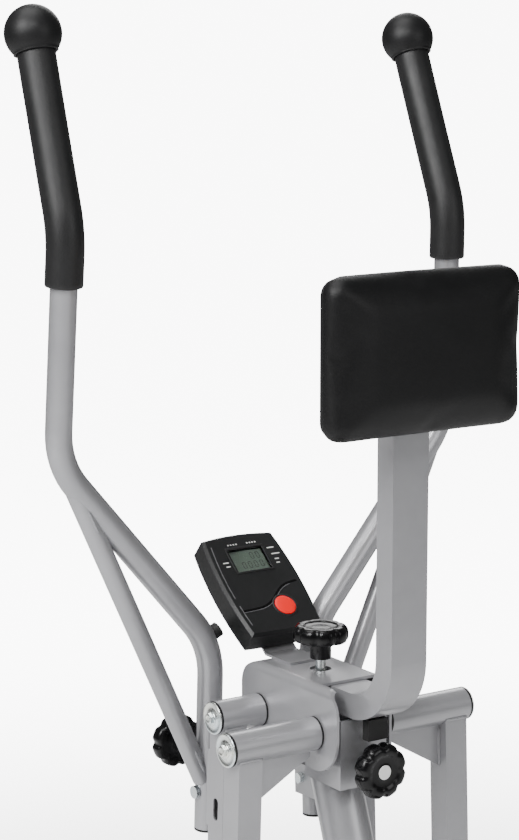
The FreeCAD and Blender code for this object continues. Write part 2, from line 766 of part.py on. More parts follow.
def make_leg(node, side, sign, hung_on, extras=(), slots=()):
    """Pivot tube with a square leg welded under it."""
    y = "@axle_gap / 2" if hung_on == "front" else "-@axle_gap / 2"
    x = "@%s_leg_x" % hung_on
    end = "@%s_end" % hung_on
    near = "@head_half_width + @bush_flange + 2 * @running_gap"
    start = mirror_x(sign, near, end)
    length = "%s - (%s)" % (end, near)
    pivot = rod(node + "_pivot", "x", (start, y, "0"), "@pivot_radius", length)
    outside, inside = leg_tube(node, sign, x, y)
    hollow = cut(node + "_hollow", outside, inside)
    solid = fuse(node + "_solid", pivot, hollow, *extras)
    bore = rod(node + "_bore", "x", (start, y, "0"), "@bush_radius", length)
    start = ("%d * %s - 30" % (sign, x), y, "-@leg_length")
    low_pin = rod(node + "_pin_hole", "x", start, "@pin_radius + @pin_clearance", "60")
    keep(cut(node + "_cut", solid, fuse(node + "_holes", bore, low_pin, *slots)), node, (side, hung_on))


def make_bushes(node, side, sign, hung_on):
    """Flanged nylon bush in each end of a pivot tube."""
    y = "@axle_gap / 2" if hung_on == "front" else "-@axle_gap / 2"
    near = "@head_half_width + @running_gap"
    inner = near + " + @bush_flange"
    far = "@%s_end" % hung_on
    ends = (
        ("in", near, inner, inner, inner + " + @running_gap + @bush_length"),
        ("out", far, far + " + @bush_flange", far + " - @bush_length", far),
    )
    pieces = []
    for tag, flange_near, flange_far, near_end, far_end in ends:
        name = node + tag
        start = (mirror_x(sign, flange_near, flange_far), y, "0")
        flange = rod(name + "_flange", "x", start, "@pivot_radius", "@bush_flange")
        start = (mirror_x(sign, near_end, far_end), y, "0")
        length = "(%s) - (%s)" % (far_end, near_end)
        sleeve = rod(name + "_sleeve", "x", start, "@bush_radius", length)
        bore = rod(name + "_bore", "x", ("-300", y, "0"), "@axle_radius + @axle_fit", "600")
        pieces.append(cut(name, fuse(name + "_solid", flange, sleeve), bore))
    keep(group(node + "_pair", *pieces), node, (side, hung_on))


def make_gusset(node, sign):
    """Triangular plate between a rear pivot tube and the inner side of its leg."""
    inner = size("head_half_width") + 7
    outer = size("rear_leg_x") - size("leg_side") / 2 + 1
    y = -size("axle_gap") / 2 - 2
    corners = []
    for x, z in ((outer, -72), (inner, -27), (inner, -16), (outer, -16)):
        corners.append(Vector(sign * x, y, z))
    face = Part.Face(Part.makePolygon(corners + corners[:1]))
    return feature_of(node + "_gusset", face.extrude(Vector(0, 4, 0)))


def make_handle_bracket(node, sign):
    """Angle plate on the front of a front leg: base, flange beside the handle and a spacer."""
    leg_front = "@axle_gap / 2 + @leg_side / 2"
    tube_side = "@handle_x - @handle_radius - 0.3"
    leg_outer = "@front_leg_x + @leg_side / 2"
    left = mirror_x(sign, tube_side + " - 4", leg_outer)
    width = "%s - (%s) + 4" % (leg_outer, tube_side)
    base = block(node + "_base", (left, leg_front, "-142"), (width, "4", "96"))
    left = mirror_x(sign, tube_side + " - 4", tube_side)
    reach = "@handle_y + 14 - (%s)" % leg_front
    flange = block(node + "_flange", (left, leg_front, "-142"), ("4", reach, "40"))
    x = "%d * @handle_x" % sign
    reach = "@handle_y - @handle_radius - 0.3 - (%s)" % leg_front
    spacer = rod(node + "_spacer", "y", (x, leg_front, str(HANDLE_KNOB_Z)), "11", reach)
    start = (x, leg_front + " - 4", str(HANDLE_KNOB_Z))
    stud = rod(node + "_stud_hole", "y", start, "@screw_radius + @axle_fit", "60")
    start = (x + " - 40", "@handle_y", str(HANDLE_BOLT_Z))
    bolt = rod(node + "_bolt_hole", "x", start, "@screw_radius + @axle_fit", "80")
    angle = fuse(node + "_angle", base, flange, spacer)
    return cut(node + "_bracket", angle, fuse(node + "_screws", stud, bolt))


def make_front_leg_slot(node, sign):
    """Upright slot in the outer wall of a front leg."""
    x = "%d * (@front_leg_x + @leg_side / 2) - 3" % sign
    middle = block(node + "_slot", (x, "@axle_gap / 2 - 5", "-126"), ("6", "10", "18"))
    top = rod(node + "_slot_top", "x", (x, "@axle_gap / 2", "-108"), "5", "6")
    low = rod(node + "_slot_low", "x", (x, "@axle_gap / 2", "-126"), "5", "6")
    return fuse(node + "_slot_all", middle, top, low)


# ---------------------------------------------------------------- handles

def handle_points(sign):
    """Corners of a handle's centre line from its lower end to the ball."""
    x = sign * size("handle_x")
    y = size("handle_y")
    wide = sign * size("grip_x")
    return [
        Vector(x, y, HANDLE_LOW),
        Vector(x, y, HANDLE_KNEE),
        Vector(wide, y, HANDLE_TOP_BEND),
        Vector(wide, y - 15, GRIP_BEND),
        Vector(wide, *BALL_CENTRE),
    ]


def handle_core(sign, radius):
    """Solid along the whole handle."""
    points = handle_points(sign)
    between = points[2] + (points[3] - points[2]) * 0.6
    lower = bent_path(points[:3] + [between], LOW_BEND)
    upper = bent_path([between] + points[3:], GRIP_BEND_RADIUS)
    return along(Part.Wire(lower.Edges + upper.Edges), radius)


def upper_path(sign, top_cut):
    """Centre line under the foam grip, from its lower end to near the ball."""
    points = handle_points(sign)
    run = points[3] - points[2]
    start = points[2] + run * ((GRIP_BOTTOM - points[2].z) / run.z)
    reach = points[4] - points[3]
    end = points[4] - reach.normalize() * top_cut
    return bent_path([start, points[3], end], GRIP_BEND_RADIUS)


def make_brace(side, sign, handle):
    """Straight tube welded between two places on the handle."""
    y = size("handle_y")
    foot = Vector(sign * (size("handle_x") + 8), y, BRACE_FOOT_Z)
    top = Vector(sign * BRACE_TOP[0], y, BRACE_TOP[1])
    line = Part.Wire([Part.LineSegment(foot, top).toShape()])
    radius = size("brace_radius")
    brace = along(line, radius).cut(along(line, radius - BRACE_WALL)).cut(handle)
    keep(feature_of(side + "_brace_shape", brace), side + "_handle_brace", (side, "front"))


def make_handle(side, sign):
    """Handle tube, brace, plug, foam grip and ball; all ride on the front leg."""
    ride = (side, "front")
    radius = size("handle_radius")
    screw = size("screw_radius") + size("axle_fit")
    x = sign * size("handle_x")
    y = size("handle_y")
    outside = handle_core(sign, radius)
    tube = outside
    for tool in (
        Part.makeCylinder(screw, 60, Vector(x, y - 30, HANDLE_KNOB_Z), Vector(0, 1, 0)),
        Part.makeCylinder(screw, 60, Vector(x - 30, y, HANDLE_BOLT_Z), Vector(1, 0, 0)),
        handle_core(sign, radius - TUBE_WALL),
    ):
        tube = tube.cut(tool)
    keep(feature_of(side + "_tube_shape", tube), side + "_handle_tube", ride)
    make_brace(side, sign, outside)
    start = ("%d * @handle_x" % sign, "@handle_y", "%g" % (HANDLE_LOW - 3))
    plug = rod(side + "_plug_disc", "z", start, "@handle_radius", "3")
    keep(plug, side + "_handle_plug", ride)
    ball = Part.makeSphere(size("ball_radius"), handle_points(sign)[4])
    room = along(upper_path(sign, 10.0), radius)
    foam = along(upper_path(sign, 20.0), size("grip_radius")).cut(room).cut(ball)
    keep(feature_of(side + "_grip_shape", foam), side + "_handle_grip", ride)
    keep(feature_of(side + "_ball_shape", ball.cut(outside)), side + "_handle_ball", ride)


def make_handle_bolt(side, sign):
    """Bolt with a round head and a nut through the lower end of a handle."""
    y = "@handle_y"
    z = str(HANDLE_BOLT_Z)
    near = "@handle_x - @handle_radius - 10"
    far = "@handle_x + @handle_radius"
    shank = rod(side + "_bolt_shank", "x", (mirror_x(sign, near, far), y, z), "@screw_radius",
                "2 * @handle_radius + 10")
    head = rod(side + "_bolt_head", "x", (mirror_x(sign, far, far + " + 5"), y, z), "8", "5")
    start = (mirror_x(sign, near, near + " + 5.5"), y, z)
    nut = rod(side + "_bolt_nut", "x", start, "7.2", "5.5", corners=6)
    keep(fuse(side + "_bolt", shank, head, nut), side + "_handle_bolt", (side, "front"))


def make_handle_fittings(side, sign):
    """Star knob, bolt and bumper of a handle."""
    ride = (side, "front")
    knob_y = size("handle_y") + size("handle_radius") + 28
    leg_front = size("axle_gap") / 2 + size("leg_side") / 2
    base = Vector(sign * size("handle_x"), knob_y, HANDLE_KNOB_Z)
    stud = str(knob_y - leg_front - 2)
    make_star_knob(side + "_handle_knob", Placement(base, FACING_FRONT), stud=stud, swing=ride)
    make_handle_bolt(side, sign)
    slope = math.radians(63)
    inward = Vector(-sign * math.sin(slope), 0, math.cos(slope))
    spot = Vector(sign * BUMPER_SPOT[0], size("handle_y"), BUMPER_SPOT[1]) + inward * 10
    bumper = Part.makeCylinder(9.5, 14, spot, inward).cut(handle_core(sign, size("handle_radius")))
    keep(feature_of(side + "_bumper_shape", bumper), side + "_handle_bumper", ride)


# ---------------------------------------------------------------- pedals

def make_pedal_carrier(side, sign):
    """Box tube between the two legs of one side, with two rests for the foot plate."""
    middle = "(@front_leg_x + @rear_leg_x) / 2"
    left = "%d * %s" % (sign, middle)
    back = "-82 - @pedal_length"
    corner = (left + " - 10", back, "-@leg_length - 20")
    tube = block(side + "_carrier_box", corner, ("20", "@axle_gap / 2 + 28 - (%s)" % back, "40"))
    corner = (left + " - 8", "-500", "-@leg_length - 18")
    room = block(side + "_carrier_room", corner, ("16", "700", "36"))
    pieces = [cut(side + "_carrier_hollow", tube, room)]
    edge = "@pedal_x + @pedal_width / 2"
    start = mirror_x(sign, middle + " - 8", edge + " - 8")
    for y in ("-180", "-350"):
        corner = (start, y, "-@leg_length + 20")
        pieces.append(block(side + "_rest" + y[1:], corner, ("%s - (%s)" % (edge, middle), "30", "4")))
    holes = []
    for place_of, y in AXLES:
        start = (left + " - 20", y, "-@leg_length")
        name = side + "_carrier_hole_" + place_of
        holes.append(rod(name, "x", start, "@pin_radius + @axle_fit", "40"))
    solid = fuse(side + "_carrier_solid", *pieces)
    carrier = cut(side + "_carrier_cut", solid, fuse(side + "_carrier_holes", *holes))
    keep(carrier, side + "_pedal_carrier", (side, "pedal"))


def make_pedal_pins(side, sign):
    """Bolt, head and nut of the lower pivots; each head is on the outer leg's far side."""
    middle = "(@front_leg_x + @rear_leg_x) / 2"
    z = "-@leg_length"
    spans = (
        ("front", "@axle_gap / 2", "@front_leg_x - @leg_side / 2 - 6.5", middle + " + 19"),
        ("rear", "-@axle_gap / 2", middle + " - 19", "@rear_leg_x + @leg_side / 2 + 6.5"),
    )
    bolts = []
    for place_of, y, near, far in spans:
        name = "%s_%s_pin" % (side, place_of)
        shank = rod(name, "x", (mirror_x(sign, near, far), y, z), "@pin_radius", "(%s) - (%s)" % (far, near))
        head_near = near if place_of == "front" else far + " - 6"
        nut_near = far + " - 8" if place_of == "front" else near
        start = (mirror_x(sign, head_near, head_near + " + 6"), y, z)
        head = rod(name + "_head", "x", start, "9.5", "6", corners=6)
        start = (mirror_x(sign, nut_near, nut_near + " + 8"), y, z)
        nut = rod(name + "_nut", "x", start, "9.5", "8", corners=6)
        bolts.append(fuse(name + "_all", shank, head, nut))
    keep(group(side + "_pins", *bolts), side + "_pedal_pins", (side, "pedal"))


def rounded_outline(sketch, width, height, radius, x, y):
    """Rectangle with round corners about the point x, y."""
    half = width / 2
    up = height / 2
    nook = radius * (1 - math.cos(math.radians(45)))
    add_outline(sketch, [
        (x - half + radius, y - up), (x + half - radius, y - up),
        ("arc", (x + half - nook, y - up + nook), (x + half, y - up + radius)),
        (x + half, y + up - radius),
        ("arc", (x + half - nook, y + up - nook), (x + half - radius, y + up)),
        (x - half + radius, y + up),
        ("arc", (x - half + nook, y + up - nook), (x - half, y + up - radius)),
        (x - half, y - up + radius),
        ("arc", (x - half + nook, y - up + nook), (x - half + radius, y - up)),
    ])


def make_foot_plate(side, sign):
    """Moulded tray with a raised rim and ribs across its floor."""
    body = new_body(side + "_plate_body")
    base = "-@leg_length + 24.2"
    length = size("pedal_length")
    width = size("pedal_width")
    middle = (sign * size("pedal_x"), PLATE_FRONT - length / 2)
    outline = new_sketch(body, side + "_plate_outline", "XY_Plane", base)
    rounded_outline(outline, width, length, PLATE_CORNER, *middle)
    pad(body, side + "_plate_pad", outline, "@pedal_rim")
    room = new_sketch(body, side + "_plate_room", "XY_Plane", base + " + @pedal_rim")
    inside = (width - 2 * PLATE_WALL, length - 2 * PLATE_WALL)
    rounded_outline(room, *inside, PLATE_CORNER - PLATE_WALL, *middle)
    pocket(body, side + "_plate_tray", room, "@pedal_rim - 6")
    ribs = new_sketch(body, side + "_rib_sketch", "XY_Plane", base + " + 5")
    first = "%g" % (PLATE_FRONT - 40)
    add_rectangle(ribs, "rib", "@pedal_width - 34", "5", x="%d * @pedal_x" % sign, y=first)
    rib = pad(body, side + "_rib", ribs, "4")
    row = body.newObject("PartDesign::LinearPattern", side + "_ribs")
    row.Originals = [rib]
    row.Direction = (ribs, ["V_Axis"])
    row.Reversed = True
    row.Length = 245
    row.Occurrences = 13
    body.Tip = row
    keep(body, side + "_foot_plate", (side, "pedal"))


# ---------------------------------------------------------------- pad

def make_pad_post():
    """Rectangular tube that runs into the head and bends up behind the cushion."""
    body = new_body("PadPostBody")
    line = new_sketch(body, "PadPostLine", "YZ_Plane")
    reach = size("pad_reach")
    corner = -reach + PAD_BEND
    centre = (corner, PAD_POST_LOW + PAD_BEND)
    add_outline(line, [
        (PAD_TAIL, PAD_POST_LOW),
        (corner, PAD_POST_LOW),
        ("arc", on_circle(centre, PAD_BEND, -135), (-reach, centre[1])),
        (-reach, PAD_POST_TOP),
    ], closed=False)
    section = new_sketch(body, "PadPostSection", "XZ_Plane", str(-PAD_TAIL))
    add_rectangle(section, "outside", "@pad_post_width", "@pad_post_depth", y=str(PAD_POST_LOW))
    add_rectangle(section, "inside", "@pad_post_width - 4", "@pad_post_depth - 4", y=str(PAD_POST_LOW))
    pipe = body.newObject("PartDesign::AdditivePipe", "PadPostPipe")
    pipe.Profile = section
    pipe.Spine = line
    slot = new_sketch(body, "PadPostSlot", "XY_Plane", "0")
    add_rectangle(slot, "slot", "2 * @stud_radius + 1.5", "84", y="17")
    pocket(body, "PadPostSlotCut", slot, "70", reverse=True)
    screws = new_sketch(body, "PadPostScrews", "XZ_Plane", "0")
    add_circle(screws, "low", "3.3", y="@pad_centre - 40")
    add_circle(screws, "high", "3.3", y="@pad_centre + 40")
    pocket(body, "PadPostHoles", screws, "400", side="Symmetric")
    keep(body, "pad_post")


def make_cushion():
    """Closed solid of the cushion: a block with round corners and a round front edge."""
    body = new_body("CushionBody")
    back = "@pad_reach + @pad_post_depth / 2 + %g" % (BOARD + 0.2)
    outline = new_sketch(body, "CushionOutline", "XZ_Plane", back)
    add_rectangle(outline, "cushion", "@pad_width", "@pad_height", y="@pad_centre")
    pad(body, "CushionPad", outline, "@pad_depth")
    corner = 0.9 * size("pad_depth")
    soften(body, "CushionCorners", "Fillet", lambda edge: edge.BoundBox.YLength > corner, "24")
    front = -size("pad_reach") - size("pad_post_depth") / 2 - BOARD - 0.2 - size("pad_depth")
    soften(body, "CushionFront", "Fillet", edge_at(y=front), "20")
    keep(body, "pad_cushion")


def make_pad():
    """Board, cushion, screws and the rubber stop under the pad post."""
    board_back = "-@pad_reach - @pad_post_depth / 2 - %g" % BOARD
    corner = ("-@pad_width / 2 + 10", board_back, "@pad_centre - @pad_height / 2 + 10")
    board = block("PadBoard", corner, ("@pad_width - 20", str(BOARD), "@pad_height - 20"))
    holes = []
    screws = []
    for tag, shift in (("low", "- 40"), ("high", "+ 40")):
        start = ("0", board_back, "@pad_centre " + shift)
        holes.append(rod("BoardHole_" + tag, "y", start, "3.05", str(BOARD)))
        shank = rod("PadScrew_" + tag, "y", start, "3", "@pad_post_depth + %g" % (BOARD + 2))
        start = ("0", "-@pad_reach + @pad_post_depth / 2", "@pad_centre " + shift)
        head = rod("PadScrewHead_" + tag, "y", start, "6.5", "4")
        screws.append(fuse("PadScrewAll_" + tag, shank, head))
    keep(cut("PadBoardCut", board, fuse("BoardHoles", *holes)), "pad_board")
    make_cushion()
    keep(group("PadScrews", *screws), "pad_screws")
    stop = block("PadStop", ("-14", "-117", "-2"), ("28", "12", "25"))
    keep(stop, "pad_stop")


# ---------------------------------------------------------------- computer

WINDOW_UP = "37"
BUTTON_SPOT = {"x": "14", "y": "-38.5"}
SCREWS_UP = (("low", -24.0), ("high", 6.0))


def console_frame():
    """Frame of the computer: x across, y up its face, z out of its face."""
    return Placement(Vector(0, *CONSOLE_CENTRE), Rotation(Vector(1, 0, 0), size("console_tilt")))


def console_outline(sketch, shrink=0.0, bulge=6.0):
    """Barrel outline, wider in the middle than at its ends."""
    half = size("console_width") / 2 - shrink
    up = size("console_length") / 2 - shrink
    add_outline(sketch, [
        (-half, -up),
        ("arc", (0.0, -up - 1.0), (half, -up)),
        ("arc", (half + bulge, 0.0), (half, up)),
        ("arc", (0.0, up + 4.0), (-half, up)),
        ("arc", (-half - bulge, 0.0), (-half, -up)),
    ])


def make_console_shell(node, low, high, open_at_top):
    """Half of the computer's housing: its outline padded, then hollowed from its open side."""
    body = new_body(node + "_body")
    outline = new_sketch(body, node + "_outline", "XY_Plane", str(low))
    console_outline(outline)
    pad(body, node + "_block", outline, str(high - low))
    edge_z = low if open_at_top else high
    soften(body, node + "_edges", "Chamfer", edge_at(z=edge_z), "3.5")
    inside = new_sketch(body, node + "_inside", "XY_Plane", str(high if open_at_top else low))
    console_outline(inside, shrink=5.0)
    pocket(body, node + "_room", inside, str(high - low - SHELL_WALL), reverse=not open_at_top)
    return body


def make_console_shells(frame):
    """Front shell with its window and button openings, and rear shell with its screw holes."""
    front = make_console_shell("console_front", -FRONT_SHELL, 0.0, False)
    window = new_sketch(front, "WindowOpening", "XY_Plane")
    add_rectangle(window, "window", "50.4", "34.4", y=WINDOW_UP)
    pocket(front, "WindowCut", window, "5")
    hole = new_sketch(front, "ButtonHole", "XY_Plane")
    add_circle(hole, "button", "@button_radius + @running_gap", **BUTTON_SPOT)
    pocket(front, "ButtonCut", hole, "5")
    keep(front, "console_front_shell", local=frame)
    depth = size("console_depth")
    back = make_console_shell("console_rear", -depth, -FRONT_SHELL - 0.1, True)
    screw_holes = new_sketch(back, "RearScrewHoles", "XY_Plane", str(-depth + 5))
    for tag, up in SCREWS_UP:
        add_circle(screw_holes, tag, "2.05", y=str(up))
    pocket(back, "RearScrewCut", screw_holes, "10")
    keep(back, "console_rear_shell", local=frame)


def make_console_insides(frame):
    """Window pane, and the circuit board with the display on it."""
    pane = new_body("WindowBody")
    outline = new_sketch(pane, "WindowOutline", "XY_Plane", "-2.5")
    add_rectangle(outline, "pane", "50", "34", y=WINDOW_UP)
    pad(pane, "WindowPane", outline, "1.6")
    keep(pane, "console_window", local=frame)
    board = new_body("BoardBody")
    circuit = new_sketch(board, "BoardOutline", "XY_Plane", "-12.5")
    add_rectangle(circuit, "circuit", "80", "116")
    pad(board, "BoardSheet", circuit, "1.6")
    display = new_sketch(board, "DisplayOutline", "XY_Plane", "-11")
    add_rectangle(display, "display", "48", "32", y=WINDOW_UP)
    pad(board, "Display", display, "8")
    keep(board, "console_board", local=frame)


def make_console_button(frame):
    """Round push button with a skirt that holds it behind the shell."""
    button = new_body("ButtonBody")
    cap = new_sketch(button, "ButtonCap", "XY_Plane", "-4.4")
    add_circle(cap, "cap", "@button_radius", **BUTTON_SPOT)
    pad(button, "ButtonTop", cap, "6")
    skirt = new_sketch(button, "ButtonSkirt", "XY_Plane", "-4.6")
    add_circle(skirt, "skirt", "@button_radius + 2", **BUTTON_SPOT)
    pad(button, "ButtonFlange", skirt, "1.6")
    keep(button, "console_button", local=frame)


def make_console():
    """Computer on its bracket."""
    frame = console_frame()
    make_console_shells(frame)
    make_console_insides(frame)
    make_console_button(frame)
    make_console_bracket()
    make_console_screws(frame)


def face_point(up, out):
    """Point (y, z) of the head frame from a place on the computer's face and out of it."""
    tilt = math.radians(size("console_tilt"))
    y = CONSOLE_CENTRE[0] + up * math.cos(tilt) - out * math.sin(tilt)
    z = CONSOLE_CENTRE[1] + up * math.sin(tilt) + out * math.cos(tilt)
    return y, z


def make_console_bracket():
    """Plate bent up from the top of the head to the back of the computer."""
    back = -size("console_depth") - 0.1
    tilt = math.tan(math.radians(size("console_tilt")))
    deck = size("head_top") + 0.05
    end_top = face_point(22.0, back)
    end_low = face_point(22.0, back - BRACKET)
    knee_low = end_low[0] - (end_low[1] - deck) / tilt
    knee_top = end_top[0] - (end_top[1] - deck - BRACKET) / tilt
    body = new_body("BracketBody")
    outline = new_sketch(body, "BracketOutline", "YZ_Plane")
    add_outline(outline, [
        (30.0, deck),
        (knee_low, deck),
        end_low,
        end_top,
        (knee_top, deck + BRACKET),
        (30.0, deck + BRACKET),
    ])
    pad(body, "BracketPlate", outline, "46", side="Symmetric")
    doc.recompute()
    shape = body.Shape
    turn = math.radians(size("console_tilt"))
    out_of_face = Vector(0, -math.sin(turn), math.cos(turn))
    for tag, up in SCREWS_UP:
        spot = Vector(0, *face_point(up, back - 20))
        shape = shape.cut(Part.makeCylinder(2.05, 40, spot, out_of_face))
    keep(feature_of("ConsoleBracket", shape), "console_bracket")


def make_console_screws(frame):
    pieces = []
    depth = size("console_depth") + 0.1 + BRACKET
    for tag, up in SCREWS_UP:
        shank = Part.makeCylinder(2, 9, Vector(0, up, -depth))
        head = Part.makeCylinder(4, 2.4, Vector(0, up, -depth - 2.4))
        pieces.append(shank.fuse(head))
    keep(feature_of("ConsoleScrews", Part.makeCompound(pieces)), "console_screws", local=frame)


# ---------------------------------------------------------------- whole machine

def make_machine():
    make_head_bracket()
    make_main_post()
    make_saddle()
    make_axles()
    make_axle_fasteners()
    make_clamp_nut()
    rear_foot = "%.4f" % post_point(size("bar_height") - size("axle_height")).y
    make_floor_bar("rear_floor_bar", rear_foot)
    make_floor_caps("rear_floor_caps", rear_foot)
    make_front_strut()
    make_floor_bar("front_floor_bar", "@front_foot_y")
    make_floor_caps("front_floor_caps", "@front_foot_y")
    make_fold_bolt()
    make_knobs()
    make_pad_post()
    make_pad()
    make_console()
    for side, sign in SIDES:
        make_leg(side + "_rear_leg", side, sign, "rear", extras=[make_gusset(side, sign)])
        bracket = make_handle_bracket(side, sign)
        slot = make_front_leg_slot(side, sign)
        make_leg(side + "_front_leg", side, sign, "front", extras=[bracket], slots=[slot])
        make_bushes(side + "_rear_bushes", side, sign, "rear")
        make_bushes(side + "_front_bushes", side, sign, "front")
        make_handle(side, sign)
        make_handle_fittings(side, sign)
        make_pedal_carrier(side, sign)
        make_pedal_pins(side, sign)
        make_foot_plate(side, sign)


def check_and_export():
    doc.recompute()
    for item in doc.Objects:
        for word in ("Invalid", "Error"):
            if word in item.State:
                raise RuntimeError("%s (%s) failed" % (item.Label, item.Name))
    os.makedirs("parts", exist_ok=True)
    for item in NODES:
        shape = item.Shape
        if shape.isNull() or not shape.isValid():
            raise RuntimeError(item.Label + " has no valid shape")
        shape.exportStep("parts/" + item.Label + ".step")
    print("wrote", len(NODES), "sub-parts")


make_machine()
check_and_export()
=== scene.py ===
import json
import math
import random

import bmesh
import bpy
from bpy.props import FloatProperty, FloatVectorProperty, IntProperty, PointerProperty
from mathutils import Matrix, Vector


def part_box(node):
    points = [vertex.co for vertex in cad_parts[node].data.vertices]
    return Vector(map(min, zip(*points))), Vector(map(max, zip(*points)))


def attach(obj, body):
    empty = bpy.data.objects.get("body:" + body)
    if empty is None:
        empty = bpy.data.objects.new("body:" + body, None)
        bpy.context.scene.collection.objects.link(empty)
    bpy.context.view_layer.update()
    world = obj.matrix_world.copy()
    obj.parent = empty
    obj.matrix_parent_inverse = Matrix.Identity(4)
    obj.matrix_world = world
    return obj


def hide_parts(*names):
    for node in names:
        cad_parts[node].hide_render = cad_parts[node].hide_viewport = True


bl_info = {
    "name": "Glider Trainer Looks",
    "version": (1, 0, 0),
    "blender": (4, 5, 0),
    "location": "3D View > Sidebar > Glider",
    "description": "Soft parts, knobs, welds, computer details and finishes of a glider trainer",
    "category": "Object",
}

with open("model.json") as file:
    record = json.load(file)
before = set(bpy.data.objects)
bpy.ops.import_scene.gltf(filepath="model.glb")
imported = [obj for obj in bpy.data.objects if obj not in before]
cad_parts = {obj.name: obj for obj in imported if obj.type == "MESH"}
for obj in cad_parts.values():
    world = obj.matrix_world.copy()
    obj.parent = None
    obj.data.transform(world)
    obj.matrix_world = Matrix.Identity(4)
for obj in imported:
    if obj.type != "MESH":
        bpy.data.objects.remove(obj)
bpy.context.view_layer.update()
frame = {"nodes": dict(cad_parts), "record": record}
MM = 0.001
MATERIALS = {}

# Places are in millimetres about the middle of the two axles, x to the right and y ahead.
HEAD = Vector((0, 0.0453, 0.750))
SIDES = (("left", -1), ("right", 1))
AXLE_Y = {"front": 58.0, "rear": -58.0}
STORED_SWING = {"left": 2.5, "right": -2.5}


# ---------------------------------------------------------------- settings

def colour(name, description, default):
    """Colour that the panel offers."""
    return FloatVectorProperty(
        name=name, description=description, default=default,
        subtype="COLOR", min=0.0, max=1.0, size=3,
    )


def length(name, description, default):
    """Length in metres that the panel offers."""
    return FloatProperty(
        name=name, description=description, default=default,
        unit="LENGTH", subtype="DISTANCE", min=0.0,
    )


class GliderFinishes(bpy.types.PropertyGroup):
    """Colours of the finishes"""

    paint: colour("Paint", "Satin powder paint of the frame", (0.36, 0.36, 0.375))
    foam: colour("Foam", "Foam grips", (0.0062, 0.0062, 0.0066))
    leather: colour("Leatherette", "Cover of the cushion", (0.0030, 0.0030, 0.0033))
    console: colour("Housing", "Housing of the computer", (0.0095, 0.0098, 0.0102))
    button: colour("Button", "Push button of the computer", (0.85, 0.006, 0.006))
    display: colour("Display", "Ground of the liquid crystal display", (0.115, 0.14, 0.12))
    floor: colour("Floor", "Floor under the machine", (0.93, 0.93, 0.93))


class GliderSizes(bpy.types.PropertyGroup):
    """Sizes of the pieces"""

    knob_radius: length("Knob radius", "Star knobs, to the tip of a lobe", 0.0335)
    knob_scallop: length("Finger hollow", "Depth of the hollows between the lobes", 0.0030)
    ball_radius: length("Ball radius", "Ball at the top of a grip", 0.0333)
    grip_radius: length("Grip radius", "Foam grip", 0.0223)
    pad_crown: length("Cushion crown", "How far the middle of the cushion stands out", 0.0060)
    knob_lobes: IntProperty(name="Lobes", description="Lobes of a star knob", default=8, min=3)


# ---------------------------------------------------------------- node groups

def socket(tree, name, way, kind, default=None):
    """Add an input or output to a node group."""
    item = tree.interface.new_socket(name=name, in_out=way, socket_type=kind)
    if default is not None:
        item.default_value = default


def new_group(name, inputs, outputs):
    """Node group with its sockets, its two end nodes and an object coordinate."""
    tree = bpy.data.node_groups.new(name, "ShaderNodeTree")
    for label, kind, default in inputs:
        socket(tree, label, "INPUT", kind, default)
    for label, kind in outputs:
        socket(tree, label, "OUTPUT", kind)
    start = tree.nodes.new("NodeGroupInput")
    end = tree.nodes.new("NodeGroupOutput")
    place = tree.nodes.new("ShaderNodeTexCoord")
    return tree, start, end, place


def feed(tree, value, entry):
    """Give a node's input a number, or link it."""
    if isinstance(value, (int, float)):
        entry.default_value = value
    else:
        tree.links.new(value, entry)


def scaled_noise(tree, vector, scale, detail, roughness=0.55):
    """Noise of a given scale, from 0 to 1."""
    noise = tree.nodes.new("ShaderNodeTexNoise")
    noise.inputs["Detail"].default_value = detail
    noise.inputs["Roughness"].default_value = roughness
    tree.links.new(vector, noise.inputs["Vector"])
    feed(tree, scale, noise.inputs["Scale"])
    return noise.outputs["Fac"]


def ranged(tree, value, low, high, to_low=0.0, to_high=1.0):
    """Value mapped from one range to another and held inside it."""
    node = tree.nodes.new("ShaderNodeMapRange")
    node.inputs["From Min"].default_value = low
    node.inputs["From Max"].default_value = high
    node.inputs["To Min"].default_value = to_low
    node.inputs["To Max"].default_value = to_high
    tree.links.new(value, node.inputs["Value"])
    return node.outputs["Result"]


def maths(tree, kind, first, second):
    """Result of one operation on two numbers or outputs."""
    node = tree.nodes.new("ShaderNodeMath")
    node.operation = kind
    feed(tree, first, node.inputs[0])
    feed(tree, second, node.inputs[1])
    return node.outputs[0]


def make_grain_group():
    """Fine even grain with a slow drift: sprayed paint, moulded plastic, foam skin."""
    tree, start, end, place = new_group(
        "Fine_Grain",
        (("Scale", "NodeSocketFloat", 900.0), ("Drift", "NodeSocketFloat", 9.0)),
        (("Grain", "NodeSocketFloat"), ("Drift", "NodeSocketFloat")),
    )
    vector = place.outputs["Object"]
    grain = scaled_noise(tree, vector, start.outputs["Scale"], 3.0)
    drift = scaled_noise(tree, vector, start.outputs["Drift"], 4.0, 0.6)
    tree.links.new(ranged(tree, grain, 0.3, 0.7), end.inputs["Grain"])
    tree.links.new(ranged(tree, drift, 0.35, 0.65), end.inputs["Drift"])


